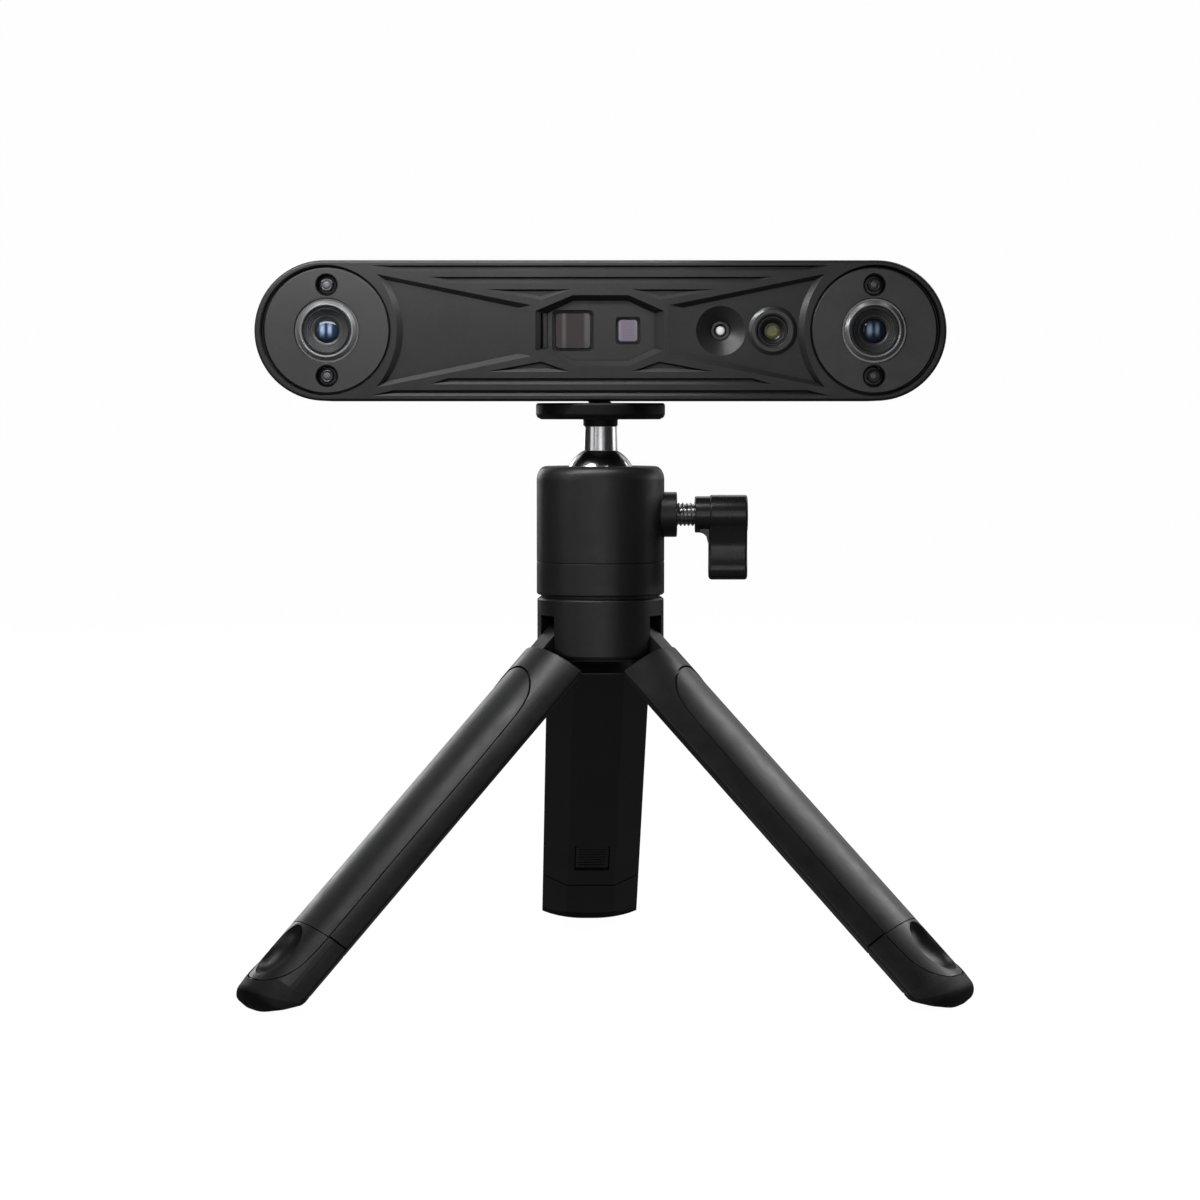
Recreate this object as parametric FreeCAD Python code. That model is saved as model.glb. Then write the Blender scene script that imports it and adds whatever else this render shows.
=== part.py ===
import FreeCAD, Part
import math
import os

# Desktop 3D scanner on a pocket tripod.
# Units mm, +Z up, the scanner looks along -Y, +X is the side of the clamp knob.
# Everything is built about the vertical axis of the tripod and moved at the
# end so that the origin is the middle of the bounding box, on the floor.

Vec = FreeCAD.Vector

# ---------------------------------------------------------------- dimensions
OFF_X, OFF_Y, OFF_Z = -1.42, -19.978, -0.5445      # tripod axis -> middle of the bounding box

# scanner bar (local origin at its centre)
SC_W, SC_H, SC_D = 173.2, 35.1, 31.5
SC_Z = 165.18
WALL, FRONT_T, BACK_T = 1.8, 3.2, 2.0
Y_SPLIT = -9.0
EYE_X = 68.5
DISC_R, DISC_T, DISC_GAP = 15.7, 1.6, 0.2
BEZEL_R, BEZEL_IN = 8.0, 6.1
LED_Z = 11.4
PANEL_DROP = 1.0                  # depth of the two bow-tie panels
GROOVE = 0.5
OCT_DEPTH = 2.2
WIN1_X, WIN1 = -6.9, 10.1
WIN2_X, WIN2_W, WIN2_H = 6.9, 6.0, 6.7
RGB_X, FLASH_X = 30.1, 43.1
USB_X = 45.0
BTN_X, BTN_R = (-12.0, 0.0, 12.0), (3.0, 4.5, 3.0)
BTN_TRAVEL = 0.5
BOSS_XZ = [(-50.0, 12.9), (-50.0, -12.9), (50.0, 12.9), (50.0, -12.9)]

# quarter-inch screw and ball head
THREAD_R, PITCH = 3.175, 1.27
PLATE_R, PLATE_Z0, PLATE_Z1 = 16.45, 143.0, 147.15
COLLAR_R, COLLAR_Z0 = 4.4, 141.4
STEM_R = 4.33
BALL_Z, BALL_R = 127.0, 9.1
HEAD_R, HEAD_Z0, HEAD_Z1 = 16.3, 106.75, 131.1
BASE_Z0, BASE_Z1 = 98.4, 106.7
KNOB_Z = 118.75
M6_R = 3.0

# hub and legs
HUB_R, HUB_Z0, HUB_Z1 = 16.15, 82.1, 97.7
PIV_R, PIV_Z = 11.0, 86.87
PIN_R = 1.5
SLOT_W, SLOT_IN, SLOT_TOP = 6.4, 6.1, 93.3
TONGUE_W, TONGUE_R = 6.0, 4.55
LEG_OPEN = 45.93
LEG_AZ = {"left": 211.94, "right": 331.94, "back": 91.94}
LEG_R, LEG_FLAT = 15.85, 3.95
LEG_SIDE = 0.12                   # half gap between two folded legs
LEG_W0, LEG_W1 = 6.8, 99.7
INLAY_W0 = 13.1
CH_U0, CH_U1, CH_V = 6.3, 12.4, 5.6
BAR_GAP = 0.2
BAR_TOP = 45.0
SOLE_T = 2.1
LATCH_W0, LATCH_W1, LATCH_V = 81.5, 91.7, 4.65

OUT = {}


# ---------------------------------------------------------------- helpers
def wire_y(pts, y):
    q = [Vec(x, y, z) for x, z in pts]
    return Part.makePolygon(q + [q[0]])


def prism_y(pts, y0, y1):
    return Part.Face(wire_y(pts, y0)).extrude(Vec(0, y1 - y0, 0))


def loft_y(p0, y0, p1, y1):
    return Part.makeLoft([wire_y(p0, y0), wire_y(p1, y1)], True, True)


def stadium(w, h, y0, y1, cx=0.0, cz=0.0):
    r = h / 2.0
    a = w / 2.0 - r
    e = [Part.LineSegment(Vec(cx - a, y0, cz + r), Vec(cx + a, y0, cz + r)).toShape(),
         Part.Arc(Vec(cx + a, y0, cz + r), Vec(cx + a + r, y0, cz), Vec(cx + a, y0, cz - r)).toShape(),
         Part.LineSegment(Vec(cx + a, y0, cz - r), Vec(cx - a, y0, cz - r)).toShape(),
         Part.Arc(Vec(cx - a, y0, cz - r), Vec(cx - a - r, y0, cz), Vec(cx - a, y0, cz + r)).toShape()]
    return Part.Face(Part.Wire(e)).extrude(Vec(0, y1 - y0, 0))


def cyl_y(r, x, z, y0, y1):
    return Part.makeCylinder(r, y1 - y0, Vec(x, y0, z), Vec(0, 1, 0))


def cone_y(r0, r1, x, z, y0, y1):
    return Part.makeCone(r0, r1, y1 - y0, Vec(x, y0, z), Vec(0, 1, 0))


def cyl_z(r, x, y, z0, z1):
    return Part.makeCylinder(r, z1 - z0, Vec(x, y, z0), Vec(0, 0, 1))


def cone_z(r0, r1, z0, z1):
    return Part.makeCone(r0, r1, z1 - z0, Vec(0, 0, z0), Vec(0, 0, 1))


def cyl_x(r, y, z, x0, x1):
    return Part.makeCylinder(r, x1 - x0, Vec(x0, y, z), Vec(1, 0, 0))


def cone_x(r0, r1, y, z, x0, x1):
    return Part.makeCone(r0, r1, x1 - x0, Vec(x0, y, z), Vec(1, 0, 0))


def box(x0, x1, y0, y1, z0, z1):
    return Part.makeBox(x1 - x0, y1 - y0, z1 - z0, Vec(x0, y0, z0))


def rbox_y(x0, x1, z0, z1, r, y0, y1):
    b = box(x0, x1, y0, y1, z0, z1)
    ed = [e for e in b.Edges if abs(e.Vertexes[0].Y - e.Vertexes[-1].Y) > 0.5 * (y1 - y0)]
    return b.makeFillet(r, ed)


def edges_at(shape, test):
    out = []
    for e in shape.Edges:
        n = [e.valueAt(e.FirstParameter + t * (e.LastParameter - e.FirstParameter)) for t in (0.0, 0.35, 0.7, 1.0)]
        if all(test(p) for p in n):
            out.append(e)
    return out


def revolve_z(pts):
    q = [Vec(r, 0, z) for r, z in pts]
    return Part.Face(Part.makePolygon(q + [q[0]])).revolve(Vec(0, 0, 0), Vec(0, 0, 1), 360)


def revolve_y(pts, x, z):
    q = [Vec(x + r, y, z) for r, y in pts]
    return Part.Face(Part.makePolygon(q + [q[0]])).revolve(Vec(x, 0, z), Vec(0, 1, 0), 360)


def revolve_x(pts, y, z):
    q = [Vec(x, y, z + r) for r, x in pts]
    return Part.Face(Part.makePolygon(q + [q[0]])).revolve(Vec(0, y, z), Vec(1, 0, 0), 360)


def fuse(a, *more):
    return a.multiFuse(list(more)).removeSplitter()


def keep(name, shape):
    OUT[name] = shape


def scan(name, shape):
    shape.translate(Vec(0, 0, SC_Z))
    keep(name, shape)


YF, YB = -SC_D / 2.0, SC_D / 2.0
MIR = lambda pts: [(-x, z) for x, z in pts][::-1]
FLIP = lambda pts: [(x, -z) for x, z in pts][::-1]

# ---------------------------------------------------------------- front shell
front = stadium(SC_W, SC_H, YF, Y_SPLIT)
front = front.makeFillet(0.7, edges_at(front, lambda p: abs(p.y - YF) < 1e-4))
front = front.makeChamfer(0.2, edges_at(front, lambda p: abs(p.y - Y_SPLIT) < 1e-4))
front = front.cut(stadium(SC_W - 2 * WALL, SC_H - 2 * WALL, YF + FRONT_T, Y_SPLIT + 1))


def arc_pts(r, a, n, side):
    return [(side * (EYE_X - r * math.cos(math.radians(t))), r * math.sin(math.radians(t)))
            for t in [a - 2 * a * i / (n - 1.0) for i in range(n)]]


def bow(side):
    # left and right sunk panels: two diagonals, an arc round the lens disc and
    # a ramp that comes up to the window frame
    floor = arc_pts(18.9, 40.8, 9, side) + [(side * 19.0, -5.31), (side * 19.0, 5.31)]
    face = arc_pts(17.7, 55.9, 9, side) + [(side * 16.2, -6.18), (side * 16.2, 6.18)]
    return loft_y(floor, YF + PANEL_DROP, face, YF)


def zig(pts, d):
    return prism_y(pts, YF - 0.5, YF + d)


TOP_GROOVES = [[(-57.5, 16.25), (57.5, 16.25), (51.8, 14.85), (-51.8, 14.85)],
               [(-42.9, 13.4), (42.9, 13.4), (38.0, 11.85), (-38.0, 11.85)],
               [(-29.0, 10.3), (-7.4, 10.3), (-14.8, 7.7)],
               [(29.0, 10.3), (7.4, 10.3), (14.8, 7.7)]]
for g in TOP_GROOVES:
    front = front.cut(zig(g, GROOVE))
    front = front.cut(zig([(x, -z) for x, z in g], GROOVE))
for s in (-1, 1):
    b = bow(s)
    front = front.cut(b)
    front = front.cut(cyl_y(DISC_R + DISC_GAP, s * EYE_X, 0, YF - 1, YF + DISC_T))
    front = front.cut(cone_y(16.45, 15.75, s * (EYE_X + 0.35), 0, YF, YF + 0.8))
    front = front.cut(cyl_y(BEZEL_IN - 0.0, s * EYE_X, 0, YF, Y_SPLIT))
    for z in (-LED_Z, LED_Z):
        front = front.cut(cyl_y(2.65, s * EYE_X, z, YF, Y_SPLIT))


def octagon(hw, hh, fx, fz):
    return [(-hw, -fz), (-hw, fz), (-fx, hh), (fx, hh), (hw, fz), (hw, -fz), (fx, -hh), (-fx, -hh)]


front = front.cut(loft_y(octagon(15.9, 8.85, 7.0, 4.9), YF, octagon(13.5, 7.5, 6.8, 4.4), YF + OCT_DEPTH))
front = front.cut(prism_y(octagon(14.35, 8.35, 7.3, 4.9), YF + OCT_DEPTH, Y_SPLIT))
# camera funnel with its boss, flash bore
front = front.fuse(cyl_y(7.4, RGB_X, 0, YF + FRONT_T - 0.4, -11.0))
front = front.cut(cone_y(6.2, 2.35, RGB_X, 0, YF + PANEL_DROP, -12.25))
front = front.cut(cyl_y(2.35, RGB_X, 0, -12.3, -10.5))
front = front.cut(cyl_y(6.15, FLASH_X, 0, YF, Y_SPLIT))
# screw bosses of the front shell and the four bench posts
BENCH_XZ = [(-57.0, 8.0), (-57.0, -8.0), (57.0, 8.0), (57.0, -8.0)]
for x, z in BOSS_XZ:
    front = front.fuse(cyl_y(2.4, x, z, YF + FRONT_T - 0.3, Y_SPLIT)).cut(cyl_y(1.0, x, z, -12.4, Y_SPLIT + 0.1))
for x, z in BENCH_XZ:
    front = front.fuse(cyl_y(2.2, x, z, YF + FRONT_T - 0.3, -8.5)).cut(cyl_y(0.9, x, z, -12.3, -8.4))
scan("front_shell", front.removeSplitter())

# ---------------------------------------------------------------- rear shell
rear = stadium(SC_W, SC_H, Y_SPLIT, YB)
rear = rear.makeFillet(2.6, edges_at(rear, lambda p: abs(p.y - YB) < 1e-4))
rear = rear.makeChamfer(0.2, edges_at(rear, lambda p: abs(p.y - Y_SPLIT) < 1e-4))
rear = rear.cut(stadium(SC_W - 2 * WALL, SC_H - 2 * WALL, Y_SPLIT - 1, YB - BACK_T))
for x, z in BOSS_XZ:
    rear = rear.fuse(cyl_y(2.6, x, z, Y_SPLIT, YB - 1.0))
boss = cyl_z(6.6, 0, 0, -SC_H / 2.0 + 0.6, -9.4)
rear = rear.fuse(boss)
for x, z in BOSS_XZ:
    rear = rear.cut(cyl_y(1.05, x, z, Y_SPLIT - 1, YB + 1)).cut(cyl_y(2.0, x, z, YB - 2.2, YB + 1))
rear = rear.cut(cyl_z(4.75, 0, 0, -SC_H / 2.0 - 1, -9.0))
for x, r in zip(BTN_X, BTN_R):
    rear = rear.cut(cyl_y(r + 0.25, x, 0, YB - BACK_T - 1, YB + 1))
    rear = rear.cut(cone_y(r + 0.25, r + 0.95, x, 0, YB - 0.35, YB + 0.35))
rear = rear.cut(stadium(9.3, 3.6, YB - BACK_T - 1, YB + 1, USB_X, 0))
rear = rear.cut(stadium(12.6, 6.6, YB - 0.6, YB + 1, USB_X, 0))
rear = rear.cut(cyl_y(0.85, 22.0, 0, YB - BACK_T - 1, YB + 1))
for i in range(8):
    x = -66.0 + 3.6 * i
    rear = rear.cut(rbox_y(x - 0.8, x + 0.8, -8.0, 8.0, 0.75, YB - BACK_T - 1, YB + 1))
rear = rear.removeSplitter()
scan("rear_shell", rear)

screws = []
for x, z in BOSS_XZ:
    s = fuse(cyl_y(1.9, x, z, YB - 2.1, YB - 0.7), cyl_y(0.98, x, z, -11.9, YB - 2.1))
    s = s.cut(Part.makeCylinder(0.8, 0.9, Vec(x, YB - 1.5, z), Vec(0, 1, 0)))
    screws.append(s)
scan("shell_screws", Part.makeCompound(screws))

# ---------------------------------------------------------------- lens ends
discs = []
for s in (-1, 1):
    d = cyl_y(DISC_R, s * EYE_X, 0, YF, YF + DISC_T)
    d = d.makeChamfer(0.3, edges_at(d, lambda p: abs(p.y - YF) < 1e-4))
    d = d.cut(cyl_y(BEZEL_R + 0.05, s * EYE_X, 0, YF - 1, YF + 3))
    for z in (-LED_Z, LED_Z):
        d = d.cut(cyl_y(2.3, s * EYE_X, z, YF - 1, YF + 3)).cut(cone_y(2.9, 2.3, s * EYE_X, z, YF, YF + 0.7))
    discs.append(d)
scan("lens_discs", Part.makeCompound(discs))
bez, bar, gls = [], [], []
for s in (-1, 1):
    bez.append(revolve_y([(6.1, YF + DISC_T), (8.0, YF + DISC_T), (8.0, YF), (6.75, YF - 0.85),
                          (6.35, YF - 0.85), (6.1, YF - 0.6)], s * EYE_X, 0))
    bar.append(revolve_y([(0.0, -5.4), (6.05, -5.4), (6.05, YF - 0.35), (5.75, YF - 0.35), (5.3, YF + 0.4),
                          (4.6, YF + 0.4), (4.2, YF + 1.1), (3.5, YF + 1.1), (3.12, YF + 1.5), (3.12, -11.0), (0.0, -11.0)], s * EYE_X, 0))
    g = cyl_y(3.08, s * EYE_X, 0, YF + 1.55, -11.0)
    dome = Part.makeSphere(5.2, Vec(s * EYE_X, YF + 1.55 + 4.2, 0)).common(cyl_y(3.08, s * EYE_X, 0, YF, YF + 1.6))
    gls.append(g.fuse(dome).removeSplitter())
scan("lens_bezels", Part.makeCompound(bez))
scan("lens_barrels", Part.makeCompound(bar))
scan("lens_glasses", Part.makeCompound(gls))
leds = []
for s in (-1, 1):
    for z in (-LED_Z, LED_Z):
        b = cyl_y(2.6, s * EYE_X, z, YF + DISC_T, YF + DISC_T + 2.1)
        dm = cyl_y(1.65, s * EYE_X, z, YF + 1.0, YF + DISC_T)
        tip = Part.makeSphere(1.9, Vec(s * EYE_X, YF + 1.0 + 0.94, z)).common(cyl_y(1.65, s * EYE_X, z, YF - 1, YF + 1.05))
        leds.append(fuse(b, dm, tip))
scan("ir_leds", Part.makeCompound(leds))

# ---------------------------------------------------------------- window panel
PY0 = YF + OCT_DEPTH
panel = prism_y(octagon(14.3, 8.3, 7.28, 4.88), PY0, PY0 + 1.5)
w1 = (WIN1_X - WIN1 / 2, WIN1_X + WIN1 / 2, -WIN1 / 2, WIN1 / 2)
w2 = (WIN2_X - WIN2_W / 2, WIN2_X + WIN2_W / 2, -WIN2_H / 2, WIN2_H / 2)
panel = panel.cut(rbox_y(w1[0], w1[1], w1[2], w1[3], 1.0, PY0 - 1, PY0 + 3))
panel = panel.cut(rbox_y(w2[0], w2[1], w2[2], w2[3], 0.8, PY0 - 1, PY0 + 3))
scan("window_panel", panel)
scan("projector_window", rbox_y(w1[0] + .05, w1[1] - .05, w1[2] + .05, w1[3] - .05, 0.95, PY0 + 0.3, PY0 + 1.1))
scan("sensor_window", rbox_y(w2[0] + .05, w2[1] - .05, w2[2] + .05, w2[3] - .05, 0.75, PY0 + 0.3, PY0 + 1.1))
pm = box(WIN1_X - 5.9, WIN1_X + 5.9, PY0 + 1.55, -4.0, -5.9, 5.9)
pm = fuse(pm, cyl_y(3.2, WIN1_X, 0, PY0 + 1.2, PY0 + 1.7))
scan("projector_module", pm)
sm = box(WIN2_X - 3.9, WIN2_X + 3.9, PY0 + 1.55, -5.0, -4.4, 4.4)
sm = fuse(sm, cyl_y(2.2, WIN2_X, 0, PY0 + 1.2, PY0 + 1.7))
scan("sensor_module", sm)

# ---------------------------------------------------------------- colour camera and flash
rc = fuse(cyl_y(2.3, RGB_X, 0, -12.5, -10.9), box(RGB_X - 4.3, RGB_X + 4.3, -10.95, -5.6, -4.3, 4.3))
rc = rc.cut(cyl_y(1.35, RGB_X, 0, -13, -11.6))
scan("rgb_camera", rc)
scan("rgb_lens", Part.makeSphere(1.6, Vec(RGB_X, -12.2 + 0.86, 0)).common(cyl_y(1.3, RGB_X, 0, -13, -11.6)))
FY = YF + PANEL_DROP
fr = revolve_y([(3.9, FY - 0.35), (5.0, FY - 0.45), (6.1, FY), (6.1, -11.6), (2.3, -11.6), (2.3, -12.4), (3.7, FY + 0.5)], FLASH_X, 0)
scan("flash_reflector", fr)
fl = fuse(cyl_y(1.9, FLASH_X, 0, -12.7, -11.5), cyl_y(6.0, FLASH_X, 0, -11.55, -10.4))
scan("flash_led", fl)

# ---------------------------------------------------------------- bench, boards
bench = box(-78, 78, -8.5, -5.5, -10.1, 10.1)
bench = bench.cut(box(WIN1_X - 6.3, WIN2_X + 4.3, -9, -5, -6.3, 6.3))
bench = bench.cut(box(RGB_X - 4.7, RGB_X + 4.7, -9, -5, -4.7, 4.7))
for s in (-1, 1):
    bench = bench.cut(cyl_y(6.15, s * EYE_X, 0, -9, -5))
bench = bench.cut(cyl_z(6.85, 0, 0, -11, -9.1))
for x, z in BENCH_XZ:
    bench = bench.cut(cyl_y(1.1, x, z, -9, -5))
scan("optical_bench", bench)
bs = []
for x, z in BENCH_XZ:
    bs.append(fuse(cyl_y(1.8, x, z, -5.5, -4.4), cyl_y(0.88, x, z, -11.8, -5.5)).cut(cyl_y(0.7, x, z, -4.9, -4.3)))
scan("bench_screws", Part.makeCompound(bs))
cb = []
for s in (-1, 1):
    cb.append(box(s * EYE_X - 9, s * EYE_X + 9, -5.4, -4.2, -10.5, 10.5).cut(box(s * 57.0 - 3.2, s * 57.0 + 3.2, -6, -4, -12, 12)))
scan("camera_boards", Part.makeCompound(cb))
mb = box(-60, 60, -1.0, 0.6, -9.8, 9.8).cut(box(-7.2, 7.2, -2, 2, -10.5, -7.0))
mb = fuse(mb, box(-10, 4, -2.4, -0.9, -5, 9), box(14, 26, -2.2, -0.9, -6, 6), box(-56, -36, -2.0, -0.9, -4, 4), box(38, 56, -2.0, -0.9, -4, 4))
scan("main_board", mb)
hs = box(-48, -20, 0.6, 2.6, -9, 9)
hs = fuse(hs, *[box(-48, -20, 2.5, 9.5, -9 + 2.8 * i, -8.0 + 2.8 * i) for i in range(7)])
scan("heat_sink", hs)

# ---------------------------------------------------------------- port, buttons, insert
us = stadium(8.94, 3.2, YB - 8.2, YB - 0.5, USB_X, 0).cut(stadium(8.34, 2.6, YB - 6.9, YB, USB_X, 0))
us = fuse(us, box(USB_X - 3.3, USB_X + 3.3, YB - 8.2, YB - 1.4, -0.35, 0.35))
scan("usb_c_socket", us)
pb = box(USB_X - 8, USB_X + 8, YB - 9.6, YB - 8.2, -7, 7)
bb = box(-18, 26, 8.6, 9.8, -6, 6)
dm = []
for x, r in zip(BTN_X, BTN_R):
    bb = fuse(bb, box(x - 2.4, x + 2.4, 9.7, 11.3, -2.4, 2.4))
    dm.append(cone_y(2.0, 1.1, x, 0, 11.3, 12.3))
scan("control_boards", Part.makeCompound([bb, pb]))
scan("button_domes", Part.makeCompound(dm))
for nm, x, r in zip(("minus_button", "scan_button", "plus_button"), BTN_X, BTN_R):
    c = cyl_y(r, x, 0, 12.9, YB + 0.6)
    c = c.makeFillet(0.35, edges_at(c, lambda p: abs(p.y - (YB + 0.6)) < 1e-4))
    scan(nm, fuse(c, cyl_y(r + 0.8, x, 0, 12.3, 13.3)))
scan("indicator_light", fuse(cyl_y(0.8, 22.0, 0, 10.6, YB - 0.05), cyl_y(1.3, 22.0, 0, 9.8, 10.7)))


def grooved(r0, depth, pitch, z0, z1):
    # ring-grooved bar standing for a screw thread
    pts = [(0, z0), (r0 - depth, z0)]
    z = z0 + 0.15
    while z + pitch < z1 - 0.1:
        pts += [(r0 - depth, z), (r0, z + pitch * 0.42), (r0, z + pitch * 0.58)]
        z += pitch
    pts += [(r0 - depth, z), (r0 - depth, z1), (0, z1)]
    return pts


ins = cyl_z(4.7, 0, 0, -SC_H / 2.0 + 0.05, -10.0).cut(cyl_z(THREAD_R + 0.06, 0, 0, -SC_H / 2.0 - 1, -11.2))
scan("thread_insert", ins)

# ---------------------------------------------------------------- quick screw, plate, stem, ball
sc = revolve_z(grooved(THREAD_R, 0.6, PITCH, PLATE_Z0 + 0.4, 152.9))
keep("camera_screw", sc)
pl = revolve_z([(THREAD_R, PLATE_Z0 + 0.4), (0, PLATE_Z0 + 0.4), (0, COLLAR_Z0), (COLLAR_R, COLLAR_Z0), (COLLAR_R, PLATE_Z0), (15.2, PLATE_Z0), (16.1, PLATE_Z0 + 0.5), (PLATE_R, PLATE_Z0 + 1.3),
                (PLATE_R, PLATE_Z1 - 0.5), (PLATE_R - 0.4, PLATE_Z1), (14.9, PLATE_Z1), (14.9, PLATE_Z1 - 0.9), (THREAD_R, PLATE_Z1 - 0.9)])
keep("mount_plate", pl)
pad = revolve_z([(4.6, PLATE_Z1 - 0.9), (14.8, PLATE_Z1 - 0.9), (14.8, PLATE_Z1), (4.6, PLATE_Z1)])
keep("plate_pad", pad)
FOOT_R = BALL_R + 0.08
st = cyl_z(STEM_R, 0, 0, 134.6, COLLAR_Z0)
st = st.cut(Part.makeSphere(FOOT_R, Vec(0, 0, BALL_Z)))
keep("ball_stem", st)
keep("ball", Part.makeSphere(BALL_R, Vec(0, 0, BALL_Z)))

# ---------------------------------------------------------------- head housing
hd = revolve_z([(0, HEAD_Z0), (HEAD_R, HEAD_Z0), (HEAD_R, 127.9), (16.0, 129.3), (15.5, 130.3), (14.6, HEAD_Z1), (0, HEAD_Z1)])
hd = hd.fuse(cyl_x(5.75, 0, KNOB_Z, 12.5, 19.5))
hd = hd.cut(cyl_z(12.2, 0, 0, HEAD_Z0 - 1, 111.2))
hd = hd.cut(cyl_z(2.8, 0, 0, 110, 114))
hd = hd.cut(cyl_z(9.4, 0, 0, 113.2, 126.5))
hd = hd.cut(Part.makeSphere(BALL_R + 0.1, Vec(0, 0, BALL_Z)))
hd = hd.cut(cone_z(8.2, 9.7, 129.7, 131.2))
hd = hd.cut(cyl_x(4.0, 0, KNOB_Z, 6.0, 13.4))
hd = hd.cut(cyl_x(M6_R + 0.06, 0, KNOB_Z, 12.0, 21.0))
keep("head_housing", hd.removeSplitter())
seat = cyl_z(9.3, 0, 0, 115.6, 123.0).cut(Part.makeSphere(BALL_R + 0.1, Vec(0, 0, BALL_Z)))
seat = seat.cut(box(4.2, 12, -4.3, 4.3, 113.9, 122.7))
keep("ball_seat", seat)
shoe = cyl_x(3.9, 0, KNOB_Z, 4.5, 12.0).cut(Part.makeSphere(BALL_R + 0.12, Vec(0, 0, BALL_Z)))
keep("clamp_shoe", shoe)


def grooved_x(r0, depth, pitch, x0, x1, plain):
    pts = [(0, x0), (r0 - 0.1, x0), (r0 - 0.1, plain)]
    x = plain
    while x + pitch < x1 - 0.05:
        pts += [(r0 - depth, x + 0.02), (r0, x + pitch * 0.45), (r0, x + pitch * 0.55)]
        x += pitch
    pts += [(r0 - depth, x + 0.02), (r0 - depth, x1), (0, x1)]
    return pts


keep("clamp_screw", revolve_x(grooved_x(M6_R, 0.5, 1.0, 12.0, 36.0, 13.6), 0, KNOB_Z))
kn = fuse(cyl_x(4.65, 0, KNOB_Z, 24.1, 28.4), cyl_x(5.0, 0, KNOB_Z, 27.8, 37.5))
wing_pts = [(-4.85, KNOB_Z + 0.6), (4.85, KNOB_Z + 0.6), (3.7, KNOB_Z - 4.5), (2.9, KNOB_Z - 8.2), (3.5, KNOB_Z - 11.5), (4.2, KNOB_Z - 13.6),
            (3.6, KNOB_Z - 16.0), (2.0, KNOB_Z - 16.6), (-2.0, KNOB_Z - 16.6), (-3.6, KNOB_Z - 16.0), (-4.2, KNOB_Z - 13.6), (-3.5, KNOB_Z - 11.5), (-2.9, KNOB_Z - 8.2), (-3.7, KNOB_Z - 4.5)]
wg = Part.Face(Part.makePolygon([Vec(27.6, y, z) for y, z in wing_pts + wing_pts[:1]])).extrude(Vec(9.8, 0, 0))
web = [(25.2, KNOB_Z - 3.0), (25.2, KNOB_Z - 4.6), (26.2, KNOB_Z - 4.9), (27.0, KNOB_Z - 5.5), (27.4, KNOB_Z - 6.3), (27.6, KNOB_Z - 7.4), (28.4, KNOB_Z - 7.4), (28.4, KNOB_Z - 3.0)]
web = Part.Face(Part.makePolygon([Vec(x, -2.9, z) for x, z in web + web[:1]])).extrude(Vec(0, 5.8, 0))
kn = fuse(kn, wg, web).cut(cyl_x(M6_R, 0, KNOB_Z, 23.0, 36.0))
keep("clamp_knob", kn)

# ---------------------------------------------------------------- head base and pan screw
hb = revolve_z([(0, BASE_Z0 - 0.7), (15.2, BASE_Z0 - 0.7), (15.2, BASE_Z0), (HEAD_R - 0.4, BASE_Z0), (HEAD_R, BASE_Z0 + 0.4), (HEAD_R, BASE_Z1),
                (12.13, BASE_Z1), (12.13, 111.1), (0, 111.1)])
hb = hb.cut(cyl_z(2.5, 0, 0, 106.0, 112)).cut(cyl_z(THREAD_R, 0, 0, 90, 105.2))
keep("head_base", hb)
keep("pan_screw", fuse(cyl_z(4.4, 0, 0, 113.28, 115.3), cyl_z(2.5, 0, 0, 106.2, 113.3)).cut(cyl_z(1.5, 0, 0, 114.3, 116)))

# ---------------------------------------------------------------- hub
hub = revolve_z([(0, HUB_Z0), (HUB_R - 1.2, HUB_Z0), (HUB_R - 0.35, HUB_Z0 + 0.35), (HUB_R, HUB_Z0 + 1.2), (HUB_R, HUB_Z1 - 0.5), (HUB_R - 0.5, HUB_Z1), (0, HUB_Z1)])
hub = hub.cut(cyl_z(THREAD_R, 0, 0, 80, 99)).cut(cyl_z(4.8, 0, 0, 80, 86.6))


def place(shape, az, op=0.0):
    # leg frame (u radial, v tangential, height -w about the pivot) -> object
    s = shape.copy()
    s.translate(Vec(-PIV_R, 0, 0))
    s.rotate(Vec(0, 0, 0), Vec(0, 1, 0), -op)
    s.translate(Vec(PIV_R, 0, PIV_Z))
    s.rotate(Vec(0, 0, 0), Vec(0, 0, 1), az)
    return s


PIN_SPAN = {"left": (-10.8, 7.5), "right": (-7.5, 10.8), "back": (-10.8, 7.5)}
relief = Part.Face(Part.makePolygon([Vec(u, -20, -w) for u, w in [(3.0, 6.25), (40, 6.25), (40, 40), (3.0, 40), (3.0, 6.25)]])).extrude(Vec(0, 40, 0))
pins = []
for nm, az in LEG_AZ.items():
    slot = box(SLOT_IN, 20, -SLOT_W / 2, SLOT_W / 2, -12, SLOT_TOP - PIV_Z)
    hub = hub.cut(place(slot, az))
    hub = hub.cut(place(relief, az, LEG_OPEN))
    a, b = PIN_SPAN[nm]
    hole = Part.makeCylinder(PIN_R, b - a + 3, Vec(PIV_R, a - (3 if a < -8 else 0), 0), Vec(0, 1, 0))
    hub = hub.cut(place(hole, az))
    pins.append(place(Part.makeCylinder(PIN_R, b - a, Vec(PIV_R, a, 0), Vec(0, 1, 0)), az))
keep("hub", hub.removeSplitter())
keep("pivot_pins", Part.makeCompound(pins))
keep("hub_bolt", fuse(cyl_z(4.6, 0, 0, 82.6, 86.6), cyl_z(THREAD_R, 0, 0, 86.5, 105.0)).cut(cyl_z(2.0, 0, 0, 82, 84.6)))

# ---------------------------------------------------------------- legs
T60 = math.tan(math.radians(60))
C60, S60 = 0.5, math.sin(math.radians(60))


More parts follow.
